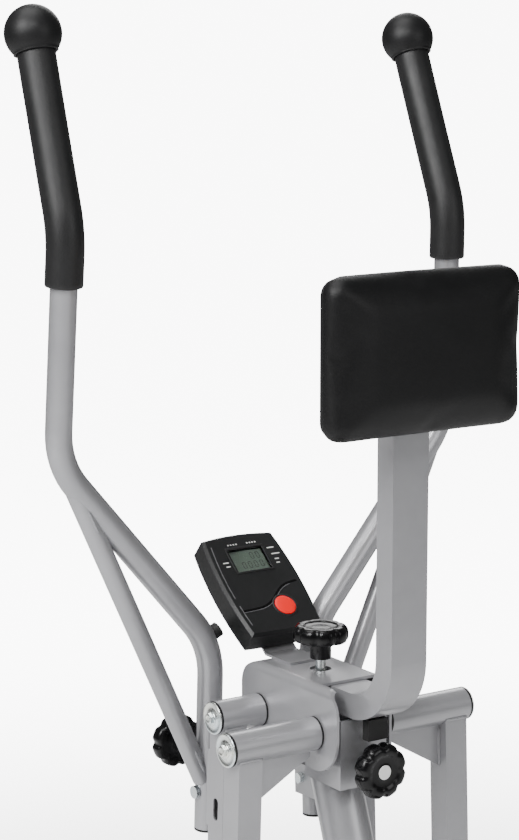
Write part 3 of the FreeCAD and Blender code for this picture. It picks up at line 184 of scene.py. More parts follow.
def make_wear_group():
    """Sparse rubbed spots and hairline scratches as one mask."""
    tree, start, end, place = new_group(
        "Rubbed_Wear",
        (("Scale", "NodeSocketFloat", 14.0), ("Amount", "NodeSocketFloat", 0.5)),
        (("Wear", "NodeSocketFloat"),),
    )
    vector = place.outputs["Object"]
    spots = scaled_noise(tree, vector, start.outputs["Scale"], 8.0, 0.7)
    spots = ranged(tree, spots, 0.60, 0.72)
    stretch = tree.nodes.new("ShaderNodeMapping")
    stretch.inputs["Scale"].default_value = (1.0, 1.0, 0.06)
    stretch.inputs["Rotation"].default_value = (0.3, 0.5, 0.2)
    tree.links.new(vector, stretch.inputs["Vector"])
    fine = maths(tree, "MULTIPLY", start.outputs["Scale"], 60.0)
    lines = scaled_noise(tree, stretch.outputs["Vector"], fine, 2.0)
    lines = ranged(tree, lines, 0.70, 0.76)
    both = maths(tree, "MAXIMUM", spots, lines)
    mask = maths(tree, "MULTIPLY", both, start.outputs["Amount"])
    tree.links.new(mask, end.inputs["Wear"])


def make_dust_group():
    """Pale dust that gathers where a surface faces up."""
    tree, start, end, place = new_group(
        "Settled_Dust",
        (("Amount", "NodeSocketFloat", 0.3),),
        (("Dust", "NodeSocketFloat"),),
    )
    shape = tree.nodes.new("ShaderNodeNewGeometry")
    split = tree.nodes.new("ShaderNodeSeparateXYZ")
    tree.links.new(shape.outputs["Normal"], split.inputs[0])
    up = ranged(tree, split.outputs["Z"], 0.25, 1.0)
    patchy = scaled_noise(tree, place.outputs["Object"], 120.0, 6.0, 0.7)
    patchy = ranged(tree, patchy, 0.45, 0.8)
    mask = maths(tree, "MULTIPLY", up, patchy)
    mask = maths(tree, "MULTIPLY", mask, start.outputs["Amount"])
    tree.links.new(mask, end.inputs["Dust"])


def make_leather_group():
    """Pebbled leatherette: rounded cells with fine creases between them, and a mask of the
    creases for painted shade.
    """
    tree, start, end, place = new_group(
        "Leather_Pebble",
        (("Scale", "NodeSocketFloat", 620.0),),
        (("Height", "NodeSocketFloat"), ("Crease", "NodeSocketFloat")),
    )
    cells = tree.nodes.new("ShaderNodeTexVoronoi")
    cells.feature = "DISTANCE_TO_EDGE"
    tree.links.new(place.outputs["Object"], cells.inputs["Vector"])
    tree.links.new(start.outputs["Scale"], cells.inputs["Scale"])
    dome = ranged(tree, cells.outputs["Distance"], 0.0, 0.28)
    fine = maths(tree, "MULTIPLY", start.outputs["Scale"], 0.35)
    wander = scaled_noise(tree, place.outputs["Object"], fine, 3.0)
    tree.links.new(maths(tree, "MULTIPLY", dome, wander), end.inputs["Height"])
    crease_shade = ranged(tree, cells.outputs["Distance"], 0.0, 0.08, 1.0, 0.0)
    tree.links.new(crease_shade, end.inputs["Crease"])


def make_foam_group():
    """Closed-cell foam: tiny pits under a soft skin, and a mask of the pits for painted shade.
    """
    tree, start, end, place = new_group(
        "Foam_Cells",
        (("Scale", "NodeSocketFloat", 1300.0),),
        (("Height", "NodeSocketFloat"), ("Pits", "NodeSocketFloat")),
    )
    cells = tree.nodes.new("ShaderNodeTexVoronoi")
    cells.feature = "F1"
    tree.links.new(place.outputs["Object"], cells.inputs["Vector"])
    tree.links.new(start.outputs["Scale"], cells.inputs["Scale"])
    slow = maths(tree, "MULTIPLY", start.outputs["Scale"], 0.05)
    lumps = scaled_noise(tree, place.outputs["Object"], slow, 4.0)
    height = maths(tree, "ADD", cells.outputs["Distance"], lumps)
    tree.links.new(height, end.inputs["Height"])
    tree.links.new(ranged(tree, cells.outputs["Distance"], 0.05, 0.35), end.inputs["Pits"])


# ---------------------------------------------------------------- materials

DUST_COLOUR = (0.42, 0.41, 0.40)
BACKDROP_GLOW = 9.0
AMBIENT = 0.14
FINISH_BY_SLOT = {
    "silver_paint": "Paint_Silver", "zinc": "Zinc_Plate", "black_nylon": "Nylon_Black",
    "black_rubber": "Rubber_Black", "foam": "Foam_Black", "ball_plastic": "Plastic_Matt",
    "knob_plastic": "Plastic_Gloss", "pedal_plastic": "Plastic_Pedal",
    "console_plastic": "Plastic_Housing", "window": "Lens_Clear",
    "circuit_board": "Display_Ground", "red_button": "Button_Red",
    "plywood": "Plywood", "leatherette": "Leatherette",
}


def new_material(name):
    """Empty finish: its node tree and its shader."""
    material = bpy.data.materials.new(name)
    material.use_nodes = True
    MATERIALS[name] = material
    tree = material.node_tree
    return tree, tree.nodes["Principled BSDF"]


def use_group(tree, name, **values):
    """Place a node group with its own values."""
    node = tree.nodes.new("ShaderNodeGroup")
    node.node_tree = bpy.data.node_groups[name]
    for label, value in values.items():
        node.inputs[label].default_value = value
    return node


def blend_colour(tree, mask, first, second):
    """Mix node from one colour to another by a mask."""
    node = tree.nodes.new("ShaderNodeMix")
    node.data_type = "RGBA"
    node.inputs["A"].default_value = (*first, 1.0)
    node.inputs["B"].default_value = (*second, 1.0)
    tree.links.new(mask, node.inputs["Factor"])
    return node


def shaded(base, factor):
    """Colour made darker or lighter."""
    return tuple(min(1.0, channel * factor) for channel in base)


def bump_from(tree, bsdf, height, strength, distance):
    """Bump on a shader from a height."""
    node = tree.nodes.new("ShaderNodeBump")
    node.inputs["Strength"].default_value = strength
    node.inputs["Distance"].default_value = distance
    tree.links.new(height, node.inputs["Height"])
    tree.links.new(node.outputs["Normal"], bsdf.inputs["Normal"])


def surface(
    name, base, roughness, spread=0.08, metallic=0.0, coat=0.0, coat_roughness=0.1,
    grain=900.0, bump=0.1, wear=0.3, wear_tone=1.5, dust=0.0, specular=0.5,
):
    """Finish with grain, drifting tone, rubbed wear, dust and varying roughness."""
    tree, bsdf = new_material(name)
    noise = use_group(tree, "Fine_Grain", Scale=grain, Drift=9.0)
    rub = use_group(tree, "Rubbed_Wear", Scale=14.0, Amount=wear)
    toned = blend_colour(tree, noise.outputs["Drift"], shaded(base, 0.93), shaded(base, 1.06))
    worn = blend_colour(tree, rub.outputs["Wear"], base, shaded(base, wear_tone))
    tree.links.new(toned.outputs["Result"], worn.inputs["A"])
    result = worn
    if dust:
        fall = use_group(tree, "Settled_Dust", Amount=dust)
        result = blend_colour(tree, fall.outputs["Dust"], base, DUST_COLOUR)
        tree.links.new(worn.outputs["Result"], result.inputs["A"])
    tree.links.new(result.outputs["Result"], bsdf.inputs["Base Color"])
    slow = maths(tree, "MULTIPLY", noise.outputs["Drift"], 0.6)
    fine = maths(tree, "MULTIPLY", noise.outputs["Grain"], 0.4)
    mixed = maths(tree, "ADD", slow, fine)
    rough = ranged(tree, mixed, 0.0, 1.0, roughness - spread, roughness + spread)
    scuffed = maths(tree, "MULTIPLY", rub.outputs["Wear"], 0.12)
    rough = maths(tree, "ADD", rough, scuffed)
    tree.links.new(rough, bsdf.inputs["Roughness"])
    bsdf.inputs["Metallic"].default_value = metallic
    bsdf.inputs["Coat Weight"].default_value = coat
    bsdf.inputs["Coat Roughness"].default_value = coat_roughness
    bsdf.inputs["Specular IOR Level"].default_value = specular
    bump_from(tree, bsdf, noise.outputs["Grain"], bump, 0.0002)


def make_zinc():
    """Bright zinc plate: faint blue and straw tints, cloudy roughness, tool marks."""
    tree, bsdf = new_material("Zinc_Plate")
    noise = use_group(tree, "Fine_Grain", Scale=420.0, Drift=46.0)
    tint = blend_colour(tree, noise.outputs["Drift"], (0.74, 0.82, 0.86), (0.90, 0.90, 0.84))
    rub = use_group(tree, "Rubbed_Wear", Scale=60.0, Amount=0.6)
    worn = blend_colour(tree, rub.outputs["Wear"], (0.7, 0.7, 0.7), (0.40, 0.40, 0.40))
    tree.links.new(tint.outputs["Result"], worn.inputs["A"])
    tree.links.new(worn.outputs["Result"], bsdf.inputs["Base Color"])
    bsdf.inputs["Metallic"].default_value = 1.0
    rough = ranged(tree, noise.outputs["Grain"], 0.0, 1.0, 0.20, 0.36)
    tree.links.new(rough, bsdf.inputs["Roughness"])
    bump_from(tree, bsdf, noise.outputs["Grain"], 0.12, 0.0002)


def make_leather(base):
    """Leatherette: pebbled skin, with painted shade darkening its creases."""
    tree, bsdf = new_material("Leatherette")
    skin = use_group(tree, "Leather_Pebble", Scale=560.0)
    noise = use_group(tree, "Fine_Grain", Scale=60.0, Drift=7.0)
    toned = blend_colour(tree, noise.outputs["Drift"], shaded(base, 0.85), shaded(base, 1.2))
    # Painted shade: the colour darkens to 0.45 of the base in the creases between the pebbles.
    crease_shade = blend_colour(tree, skin.outputs["Crease"], base, shaded(base, 0.45))
    tree.links.new(toned.outputs["Result"], crease_shade.inputs["A"])
    tree.links.new(crease_shade.outputs["Result"], bsdf.inputs["Base Color"])
    rough = ranged(tree, noise.outputs["Drift"], 0.0, 1.0, 0.42, 0.52)
    tree.links.new(rough, bsdf.inputs["Roughness"])
    bsdf.inputs["Specular IOR Level"].default_value = 0.26
    bump_from(tree, bsdf, skin.outputs["Height"], 0.22, 0.0004)


def make_foam(base):
    """Foam skin with painted shade in its pits and a faint sheen."""
    tree, bsdf = new_material("Foam_Black")
    cells = use_group(tree, "Foam_Cells", Scale=1100.0)
    noise = use_group(tree, "Fine_Grain", Scale=40.0, Drift=14.0)
    toned = blend_colour(tree, noise.outputs["Drift"], shaded(base, 0.85), shaded(base, 1.25))
    # Painted shade: the colour darkens to 0.55 of the base in the pits of the foam cells.
    pit_shade = blend_colour(tree, cells.outputs["Pits"], shaded(base, 0.55), base)
    tree.links.new(toned.outputs["Result"], pit_shade.inputs["B"])
    tree.links.new(pit_shade.outputs["Result"], bsdf.inputs["Base Color"])
    rough = ranged(tree, noise.outputs["Grain"], 0.0, 1.0, 0.40, 0.50)
    tree.links.new(rough, bsdf.inputs["Roughness"])
    bsdf.inputs["Specular IOR Level"].default_value = 0.40
    bsdf.inputs["Sheen Weight"].default_value = 0.01
    bsdf.inputs["Sheen Roughness"].default_value = 0.6
    bump_from(tree, bsdf, cells.outputs["Height"], 0.25, 0.0004)


def make_window():
    """Clear lens: a glossy sheet that lets the display show."""
    tree, bsdf = new_material("Lens_Clear")
    bsdf.inputs["Base Color"].default_value = (0.92, 0.95, 0.93, 1.0)
    noise = use_group(tree, "Fine_Grain", Scale=300.0, Drift=30.0)
    rough = ranged(tree, noise.outputs["Drift"], 0.0, 1.0, 0.03, 0.09)
    tree.links.new(rough, bsdf.inputs["Roughness"])
    bsdf.inputs["Transmission Weight"].default_value = 1.0
    bsdf.inputs["IOR"].default_value = 1.1
    bump_from(tree, bsdf, noise.outputs["Grain"], 0.02, 0.0001)


def make_plywood():
    """Plywood with its grain along the board's width."""
    tree, bsdf = new_material("Plywood")
    place = tree.nodes.new("ShaderNodeTexCoord")
    stretch = tree.nodes.new("ShaderNodeMapping")
    stretch.inputs["Scale"].default_value = (6.0, 120.0, 60.0)
    tree.links.new(place.outputs["Object"], stretch.inputs["Vector"])
    grain = scaled_noise(tree, stretch.outputs["Vector"], 3.0, 6.0, 0.65)
    streaks = ranged(tree, grain, 0.3, 0.7)
    wood = blend_colour(tree, streaks, (0.30, 0.17, 0.08), (0.52, 0.34, 0.19))
    tree.links.new(wood.outputs["Result"], bsdf.inputs["Base Color"])
    tree.links.new(ranged(tree, grain, 0.3, 0.7, 0.55, 0.75), bsdf.inputs["Roughness"])
    bump_from(tree, bsdf, grain, 0.3, 0.0003)


def make_sweep_group():
    """Mask that is 0 near the middle of the floor and 1 far from it."""
    tree, start, end, place = new_group("Far_From_Middle", (), (("Far", "NodeSocketFloat"),))
    reach = tree.nodes.new("ShaderNodeVectorMath")
    reach.operation = "LENGTH"
    tree.links.new(place.outputs["Object"], reach.inputs[0])
    far = ranged(tree, reach.outputs["Value"], 0.2, 3.6)
    far.node.interpolation_type = "SMOOTHERSTEP"
    tree.links.new(far, end.inputs["Far"])


def make_floor(base):
    """Pale floor that shows as a brightly lit sweep away from the machine."""
    tree, bsdf = new_material("Studio_Floor")
    noise = use_group(tree, "Fine_Grain", Scale=30.0, Drift=0.6)
    toned = blend_colour(tree, noise.outputs["Drift"], shaded(base, 0.995), base)
    tree.links.new(toned.outputs["Result"], bsdf.inputs["Base Color"])
    bsdf.inputs["Roughness"].default_value = 0.85
    bsdf.inputs["Specular IOR Level"].default_value = 0.1
    far = use_group(tree, "Far_From_Middle")
    rays = tree.nodes.new("ShaderNodeLightPath")
    seen = maths(tree, "MULTIPLY", far.outputs["Far"], rays.outputs["Is Camera Ray"])
    tree.links.new(seen, bsdf.inputs["Emission Color"])
    bsdf.inputs["Emission Strength"].default_value = BACKDROP_GLOW


def paint_frame_nodes():
    """Give every carried-over node its finish."""
    for row in frame["record"]["subparts"]:
        finish = MATERIALS[FINISH_BY_SLOT[row["material_slot"]]]
        for item in frame["nodes"][row["node"]].material_slots:
            item.material = finish


class GLIDER_OT_finishes(bpy.types.Operator):
    """Build every finish and put them on the frame's own parts"""

    bl_idname = "glider.finishes"
    bl_label = "Finishes"

    def execute(self, context):
        looks = context.scene.glider_finishes
        for maker in (
            make_grain_group, make_wear_group, make_dust_group, make_leather_group,
            make_foam_group, make_sweep_group,
        ):
            maker()
        paint = tuple(looks.paint)
        surface(
            "Paint_Silver", paint, 0.34, spread=0.03, metallic=0.50, coat=0.50,
            coat_roughness=0.12, grain=1500.0, bump=0.09, wear=0.10, wear_tone=0.75, dust=0.06,
        )
        surface(
            "Weld_Paint", paint, 0.40, metallic=0.60, grain=500.0, bump=0.5,
            wear=0.2, wear_tone=0.7,
        )
        surface("Nylon_Black", (0.010, 0.010, 0.0105), 0.45, grain=500.0, specular=0.3)
        surface(
            "Rubber_Black", (0.012, 0.012, 0.012), 0.66, grain=700.0, bump=0.3, wear=0.4,
            dust=0.2, specular=0.3,
        )
        surface(
            "Plastic_Matt", (0.0050, 0.0050, 0.0054), 0.46, spread=0.05, grain=1600.0,
            bump=0.15, wear=0.15, specular=0.3,
        )
        surface(
            "Plastic_Gloss", (0.0025, 0.0025, 0.0028), 0.22, spread=0.05, grain=700.0,
            bump=0.05, wear=0.2, specular=0.32,
        )
        surface(
            "Plastic_Pedal", (0.013, 0.013, 0.0135), 0.55, bump=0.35, wear=0.4, dust=0.1,
            specular=0.35,
        )
        surface(
            "Plastic_Housing", tuple(looks.console), 0.40, spread=0.06, grain=1400.0,
            bump=0.30, wear=0.12, specular=0.32,
        )
        # Painted highlight: a pale grey, far lighter than the housing, stands in for the light
        # caught along the ridge lines and the lip below the groove.
        surface("Ridge_Painted_Highlight", (0.10, 0.10, 0.105), 0.35)
        # Painted shade: a near-black strip stands in for the shade inside the S-groove on the
        # computer's face.
        surface("Groove_Painted_Shade", (0.0015, 0.0015, 0.0015), 0.7, wear=0.0, specular=0.1)
        surface("Mark_White", (0.72, 0.72, 0.70), 0.5, spread=0.05, wear_tone=0.7)
        surface("Disc_White", (0.80, 0.80, 0.79), 0.38, spread=0.06, grain=500.0, wear_tone=0.8)
        surface("Display_Ground", tuple(looks.display), 0.35, spread=0.05, grain=600.0, wear=0.1)
        surface("Display_Ink", (0.02, 0.024, 0.02), 0.5, grain=600.0)
        surface(
            "Button_Red", tuple(looks.button), 0.36, spread=0.06, wear=0.2, wear_tone=1.2,
            specular=0.35,
        )
        make_zinc()
        make_leather(tuple(looks.leather))
        make_foam(tuple(looks.foam))
        make_window()
        make_plywood()
        make_floor(tuple(looks.floor))
        paint_frame_nodes()
        return {"FINISHED"}


# ---------------------------------------------------------------- shapes

def at_head(x=0.0, y=0.0, z=0.0):
    """Point of the machine from millimetres about the middle of the two axles."""
    return HEAD + Vector((x, y, z)) * MM


def hung(side, hung_on):
    """Matrix from head coordinates in metres to the stored place of what hangs on an axle."""
    axle = Vector((0, AXLE_Y[hung_on] * MM, 0))
    turn = Matrix.Rotation(math.radians(STORED_SWING[side]), 4, "X")
    return Matrix.Translation(HEAD + axle) @ turn @ Matrix.Translation(-axle)


def facing(origin, direction):
    """Matrix that turns z to a direction and moves the origin there."""
    turn = Vector(direction).to_track_quat("Z", "Y").to_matrix().to_4x4()
    return Matrix.Translation(origin) @ turn


def spun(profile, steps=64):
    """Closed solid of revolution about z from (radius, height) pairs in millimetres."""
    shape = bmesh.new()
    verts = [shape.verts.new((radius * MM, 0, height * MM)) for radius, height in profile]
    edges = [shape.edges.new(pair) for pair in zip(verts, verts[1:])]
    bmesh.ops.spin(
        shape, geom=verts + edges, cent=(0, 0, 0), axis=(0, 0, 1), dvec=(0, 0, 0),
        angle=math.tau, steps=steps, use_merge=True, use_normal_flip=False, use_duplicate=False,
    )
    bmesh.ops.remove_doubles(shape, verts=shape.verts, dist=1e-6)
    bmesh.ops.dissolve_degenerate(shape, edges=shape.edges, dist=1e-7)
    bmesh.ops.recalc_face_normals(shape, faces=shape.faces)
    return shape


def rounded(shape, edges, radius, segments, clamp=False):
    """Round some edges to a radius in metres."""
    bmesh.ops.bevel(
        shape, geom=edges, offset=radius, offset_type="OFFSET", segments=segments,
        profile=0.5, affect="EDGES", material=-1, clamp_overlap=clamp,
    )


def soft_box(centre, sides, bevel=0, segments=3):
    """Box about a centre in millimetres with rounded edges."""
    shape = bmesh.new()
    bmesh.ops.create_cube(shape, size=1.0)
    bmesh.ops.scale(shape, vec=Vector(sides) * MM, verts=shape.verts)
    if bevel:
        rounded(shape, shape.edges[:], bevel * MM, segments, clamp=True)
    bmesh.ops.translate(shape, vec=Vector(centre) * MM, verts=shape.verts)
    return shape


def upright_edges(shape):
    """Edges that run along y."""
    found = []
    for edge in shape.edges:
        run = edge.verts[0].co - edge.verts[1].co
        if abs(run.normalized().y) > 0.9:
            found.append(edge)
    return found


BEAD_SIDES = 8
BEAD_STEP = 1.6
RIPPLE = 0.14
RIPPLE_RATE = 2.1
UNEVEN = 0.05


def bead(start, heading, across, reach, radius=2.2, seed=1, arc=None):
    """Weld bead as a lumpy bar from a start point along a heading, or round a ring."""
    shape = bmesh.new()
    bmesh.ops.create_circle(shape, cap_ends=True, segments=BEAD_SIDES, radius=1.0)
    face = list(shape.faces)
    steps = max(6, int(reach / BEAD_STEP))
    for _ in range(steps):
        made = bmesh.ops.extrude_face_region(shape, geom=face)
        verts = [item for item in made["geom"] if isinstance(item, bmesh.types.BMVert)]
        bmesh.ops.translate(shape, vec=(0, 0, 1), verts=verts)
        bmesh.ops.delete(shape, geom=face, context="FACES_ONLY")
        face = [item for item in made["geom"] if isinstance(item, bmesh.types.BMFace)]
    luck = random.Random(seed)
    heading = Vector(heading).normalized()
    across = Vector(across).normalized()
    side = heading.cross(across)
    for vert in shape.verts:
        step = round(vert.co.z)
        wave = 1.0 + RIPPLE * math.sin(step * RIPPLE_RATE) + luck.uniform(-UNEVEN, UNEVEN)
        end = min(1.0, 0.45 + min(step, steps - step) * 0.3)
        size = radius * wave * end
        if arc is None:
            along = reach * step / steps
            spot = Vector(start) + heading * along
            spot += (across * vert.co.x + side * vert.co.y) * size
        else:
            centre, ring_radius = arc
            turn = math.tau * step / steps
            out = across * math.cos(turn) + side * math.sin(turn)
            spot = Vector(centre) + out * (ring_radius + vert.co.x * size)
            spot += heading * vert.co.y * size
        vert.co = spot * MM
    bmesh.ops.recalc_face_normals(shape, faces=shape.faces)
    return shape


def ring_bead(centre, axis, radius, thick, seed):
    """Weld bead round a tube's end."""
    across = Vector(axis).normalized().orthogonal()
    reach = math.tau * radius
    return bead((0, 0, 0), axis, across, reach, thick, seed, arc=(centre, radius))


def joined(shapes):
    """One bmesh from several."""
    whole = bmesh.new()
    for shape in shapes:
        mesh = bpy.data.meshes.new("part")
        shape.to_mesh(mesh)
        shape.free()
        whole.from_mesh(mesh)
        bpy.data.meshes.remove(mesh)
    return whole


def finish_piece(name, shape, finish, body, nodes=(), matrix=None, angle=35.0):
    """Turn a bmesh into a piece that rides on a body and may stand for CAD nodes."""
    if matrix is not None:
        bmesh.ops.transform(shape, matrix=matrix, verts=shape.verts)
    mesh = bpy.data.meshes.new(name)
    shape.to_mesh(mesh)
    shape.free()
    mesh.materials.append(MATERIALS[finish])
    for polygon in mesh.polygons:
        polygon.use_smooth = True
    mesh.set_sharp_from_angle(angle=math.radians(angle))
    piece = bpy.data.objects.new(name, mesh)
    bpy.context.scene.collection.objects.link(piece)
    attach(piece, body)
    if nodes:
        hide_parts(*nodes)
    return piece


# ---------------------------------------------------------------- knobs

KNOB_PROFILE = (
    (0.0, 0.0), (11.6, 0.0), (12.4, 0.4), (12.8, 1.4), (12.8, 16.5), (13.3, 18.4),
    (15.0, 19.8), (19.0, 20.3), (24.5, 20.6), (27.6, 21.3), (29.4, 22.8), (30.2, 25.0),
    (30.5, 28.0), (30.5, 31.0), (30.2, 34.4), (29.3, 37.2), (27.6, 39.4), (25.2, 40.7),
    (22.4, 41.0), (20.0, 40.6), (18.4, 39.9), (17.4, 39.2), (15.5, 38.8), (12.0, 38.6),
    (9.8, 38.6), (9.2, 38.9), (8.4, 39.0), (0.0, 39.0),
)


DRAWN_RADIUS = 0.0305
HUB_RADIUS = 14
RIM_HEIGHT = 0.0195
HOLLOW_START = 0.018
HOLLOW_FADE = 0.009
HOLLOW_HALF = math.radians(12.5)


def knob_shape(sizes):
    """Star wheel on a hub, with finger hollows round its rim."""
    wider = sizes.knob_radius / DRAWN_RADIUS
    profile = [(r * wider if r > HUB_RADIUS else r, z) for r, z in KNOB_PROFILE]
    shape = spun(profile, steps=128)
    period = math.tau / sizes.knob_lobes
    for vert in shape.verts:
        reach = math.hypot(vert.co.x, vert.co.y)
        if vert.co.z < RIM_HEIGHT or reach < HOLLOW_START:
            continue
        turn = math.atan2(vert.co.y, vert.co.x) % period
        off = min(turn, period - turn) / HOLLOW_HALF
        if off >= 1.0:
            continue
        weight = min(1.0, (reach - HOLLOW_START) / HOLLOW_FADE)
        depth = sizes.knob_scallop * weight * math.cos(off * math.pi / 2) ** 2
        vert.co.xy *= (reach - depth) / reach
    return shape


def stud_shape(reach):
    """Chamfered stud below a knob, with its end a given distance down."""
    return spun(
        ((0, -reach), (3.2, -reach), (4.0, 1 - reach), (4.0, 1.0), (0, 1.0)), steps=24)


class GLIDER_OT_knobs(bpy.types.Operator):
    """Make the five star knobs and the plain disc on the lock knob"""

    bl_idname = "glider.knobs"
    bl_label = "Star knobs"

    def execute(self, context):
        lock_place = facing(at_head(0, -91, -38), (0, -1, 0))
        places = [
            ("pad_knob", facing(at_head(0, 0, 70), (0, 0, 1)), None),
            ("lock_knob", lock_place, None),
        ]
        for side, sign in SIDES:
            local = Matrix.Translation(Vector((sign * 77, 171, -78)) * MM)
            local = local @ Matrix.Rotation(math.radians(-90), 4, "X")
            places.append((side + "_handle_knob", hung(side, "front") @ local, 95))
        low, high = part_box("fold_knob")
        centre = (Vector(low) + Vector(high)) / 2
        hub_end = Vector((25.5 * MM, centre.y, centre.z))
        places.append(("fold_knob", facing(hub_end, (1, 0, 0)), 52))
        for node, matrix, stud_reach in places:
            name = node.title()
            shape = knob_shape(context.scene.glider_sizes)
            finish_piece(name, shape, "Plastic_Gloss", node, (node,), matrix)
            if stud_reach:
                finish_piece(
                    name + "_Stud", stud_shape(stud_reach), "Zinc_Plate", node,
                    matrix=matrix)
        disc = spun(
            ((0, 38.9), (8.0, 38.9), (8.6, 39.1), (8.7, 39.4), (8.3, 39.7), (0, 39.8)), steps=48)
        finish_piece(
            "Lock_Knob_Disc", disc, "Disc_White", "lock_knob", matrix=lock_place)
        return {"FINISHED"}


# ---------------------------------------------------------------- grips and balls

GRIP_LOW = Vector((0, 115.47, 525.0))
GRIP_KNEE = Vector((0, 112.0, 588.0))
BALL_CENTRE = Vector((0, 191.0, 805.0))
GRIP_X = 293.0
GRIP_BEND = 130.0
GRIP_RINGS = 60
GRIP_UNEVEN = 0.0022
BORE = 16.1
END_ROUND = 2.4
BALL_OVERLAP = 16.0
BALL_CUT = 20.6
BALL_RINGS = 40


def grip_bend():
    """Headings of the grip's two straight parts, its turn, and how far back the bend starts."""
    arriving = (GRIP_KNEE - GRIP_LOW).normalized()
    leaving = (BALL_CENTRE - GRIP_KNEE).normalized()
    turn = arriving.angle(leaving)
    return arriving, leaving, turn, GRIP_BEND * math.tan(turn / 2)


def grip_line(travel):
    """Point and heading on the grip's centre line, at a distance from its lower end."""
    arriving, leaving, turn, back = grip_bend()
    first = (GRIP_KNEE - GRIP_LOW).length - back
    arc = GRIP_BEND * turn
    if travel <= first:
        return GRIP_LOW + arriving * travel, arriving
    if travel >= first + arc:
        return GRIP_KNEE + leaving * (back + travel - first - arc), leaving
    part = (travel - first) / GRIP_BEND
    bend = Matrix.Rotation(-part, 3, "X")
    inward = (leaving - arriving * leaving.dot(arriving)).normalized()
    centre = GRIP_LOW + arriving * first + inward * GRIP_BEND
    return centre + bend @ (-inward * GRIP_BEND), bend @ arriving


def grip_length():
    """Length of the centre line from the grip's lower end to the middle of the ball."""
    turn, back = grip_bend()[2:]
    straight = (GRIP_KNEE - GRIP_LOW).length + (BALL_CENTRE - GRIP_KNEE).length
    return straight - 2 * back + GRIP_BEND * turn


def grip_shape(radius, seed):
    """Foam sleeve: rounded ends, a slow unevenness, bent along the handle."""
    reach = grip_length() - BALL_OVERLAP
    profile = [
        (BORE, 2.0), (16.6, 0.3), (radius - 2.2, 0.0), (radius - 0.7, 0.7), (radius, END_ROUND)]
    for step in range(1, GRIP_RINGS):
        height = END_ROUND + (reach - 2 * END_ROUND) * step / GRIP_RINGS
        profile.append((radius, height))
    profile += [(radius, reach - END_ROUND), (radius - 1.5, reach), (BORE, reach)]
    shape = spun(profile, steps=56)
    luck = random.Random(seed)
    waves = [
        (luck.uniform(0.01, 0.05), luck.uniform(0, math.tau), luck.choice((1, 2, 3)))
        for _ in range(5)]
    side = Vector((1, 0, 0))
    for vert in shape.verts:
        travel = vert.co.z / MM
        flat = Vector((vert.co.x, vert.co.y, 0)) / MM
        turn = math.atan2(flat.y, flat.x)
        if flat.length > 20:
            swell = sum(
                math.sin(travel * rate + phase + turn * count) for rate, phase, count in waves)
            flat *= 1 + GRIP_UNEVEN * swell
        spot, heading = grip_line(travel)
        vert.co = (spot + side * flat.x + heading.cross(side) * flat.y) * MM
    bmesh.ops.recalc_face_normals(shape, faces=shape.faces)
    return shape


def ball_shape(radius):
    """Ball cap: a sphere cut off below, with a rolled lip, a flat inside and a mould line."""
    profile = [(16.2, -20.0), (22.3, -20.2), (23.4, -22.6), (25.0, -23.2), (26.0, -22.4)]
    low = -math.degrees(math.asin(BALL_CUT / radius))
    for step in range(BALL_RINGS + 1):
        turn = math.radians(low + (90 - low) * step / BALL_RINGS)
        profile.append((radius * math.cos(turn), radius * math.sin(turn)))
    shape = spun(profile, steps=72)
    for vert in shape.verts:
        if abs(vert.co.x) < 0.0004 and math.hypot(vert.co.y, vert.co.z) > 0.03:
            vert.co *= 1.004
    return shape


class GLIDER_OT_grips(bpy.types.Operator):
    """Make the foam grips and the ball caps at the top of the handles"""

    bl_idname = "glider.grips"
    bl_label = "Grips and balls"

    def execute(self, context):
        sizes = context.scene.glider_sizes
        for side, sign in SIDES:
            across = Matrix.Translation(Vector((sign * GRIP_X, 0, 0)) * MM)
            matrix = hung(side, "front") @ across
            body = side + "_front_swing"
            grip = finish_piece(
                side.title() + "_Grip", grip_shape(sizes.grip_radius / MM, 3 + sign),
                "Foam_Black", body, (side + "_handle_grip",), matrix, angle=60.0)
            spot, heading = grip_line(grip_length())
            finish_piece(
                side.title() + "_Ball", ball_shape(sizes.ball_radius / MM), "Plastic_Matt",
                body, (side + "_handle_ball",),
                matrix @ facing(spot * MM, heading))
        return {"FINISHED"}


# ---------------------------------------------------------------- cushion

CAD_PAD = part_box("pad_cushion")
PAD_SIDES = (268.0, 42.0, 184.0)
PAD_CENTRE = (0.0, -201.2, 463.0)
BACK_GAP = 10
VOXEL = 0.0045
CLOTH_FRAMES = 20
LARGEST_SWELL = 0.006
HELD_DEPTH = 0.004
SIDE_PINCH = 0.0006
FABRIC_PROUD = 0.005


def cushion_start():
    """Rounded block, thinner than the full cushion, with its back at the board."""
    width, depth, height = PAD_SIDES
    thin = depth - BACK_GAP
    shape = bmesh.new()
    bmesh.ops.create_cube(shape, size=1.0)
    bmesh.ops.scale(shape, vec=Vector((width, thin, height)) * MM, verts=shape.verts)
    rounded(shape, upright_edges(shape), 0.0215, 8)
    front = [edge for edge in shape.edges if all(vert.co.y < 0 for vert in edge.verts)]
    rounded(shape, front, 0.0205, 10)
    level = thin * MM / 2 - 1e-5
    back = [edge for edge in shape.edges if all(vert.co.y > level for vert in edge.verts)]
    rounded(shape, back, 0.005, 4)
    x, y, z = PAD_CENTRE
    bmesh.ops.translate(shape, vec=at_head(x, y + BACK_GAP / 2, z), verts=shape.verts)
    return shape


def use_modifier(piece, name, kind, **values):
    """Add a modifier with its values."""
    modifier = piece.modifiers.new(name, kind)
    for key, value in values.items():
        setattr(modifier, key, value)


def apply_modifier(piece, name):
    """Make a modifier's result the piece's mesh."""
    bpy.context.view_layer.objects.active = piece
    bpy.ops.object.modifier_apply(modifier=name)


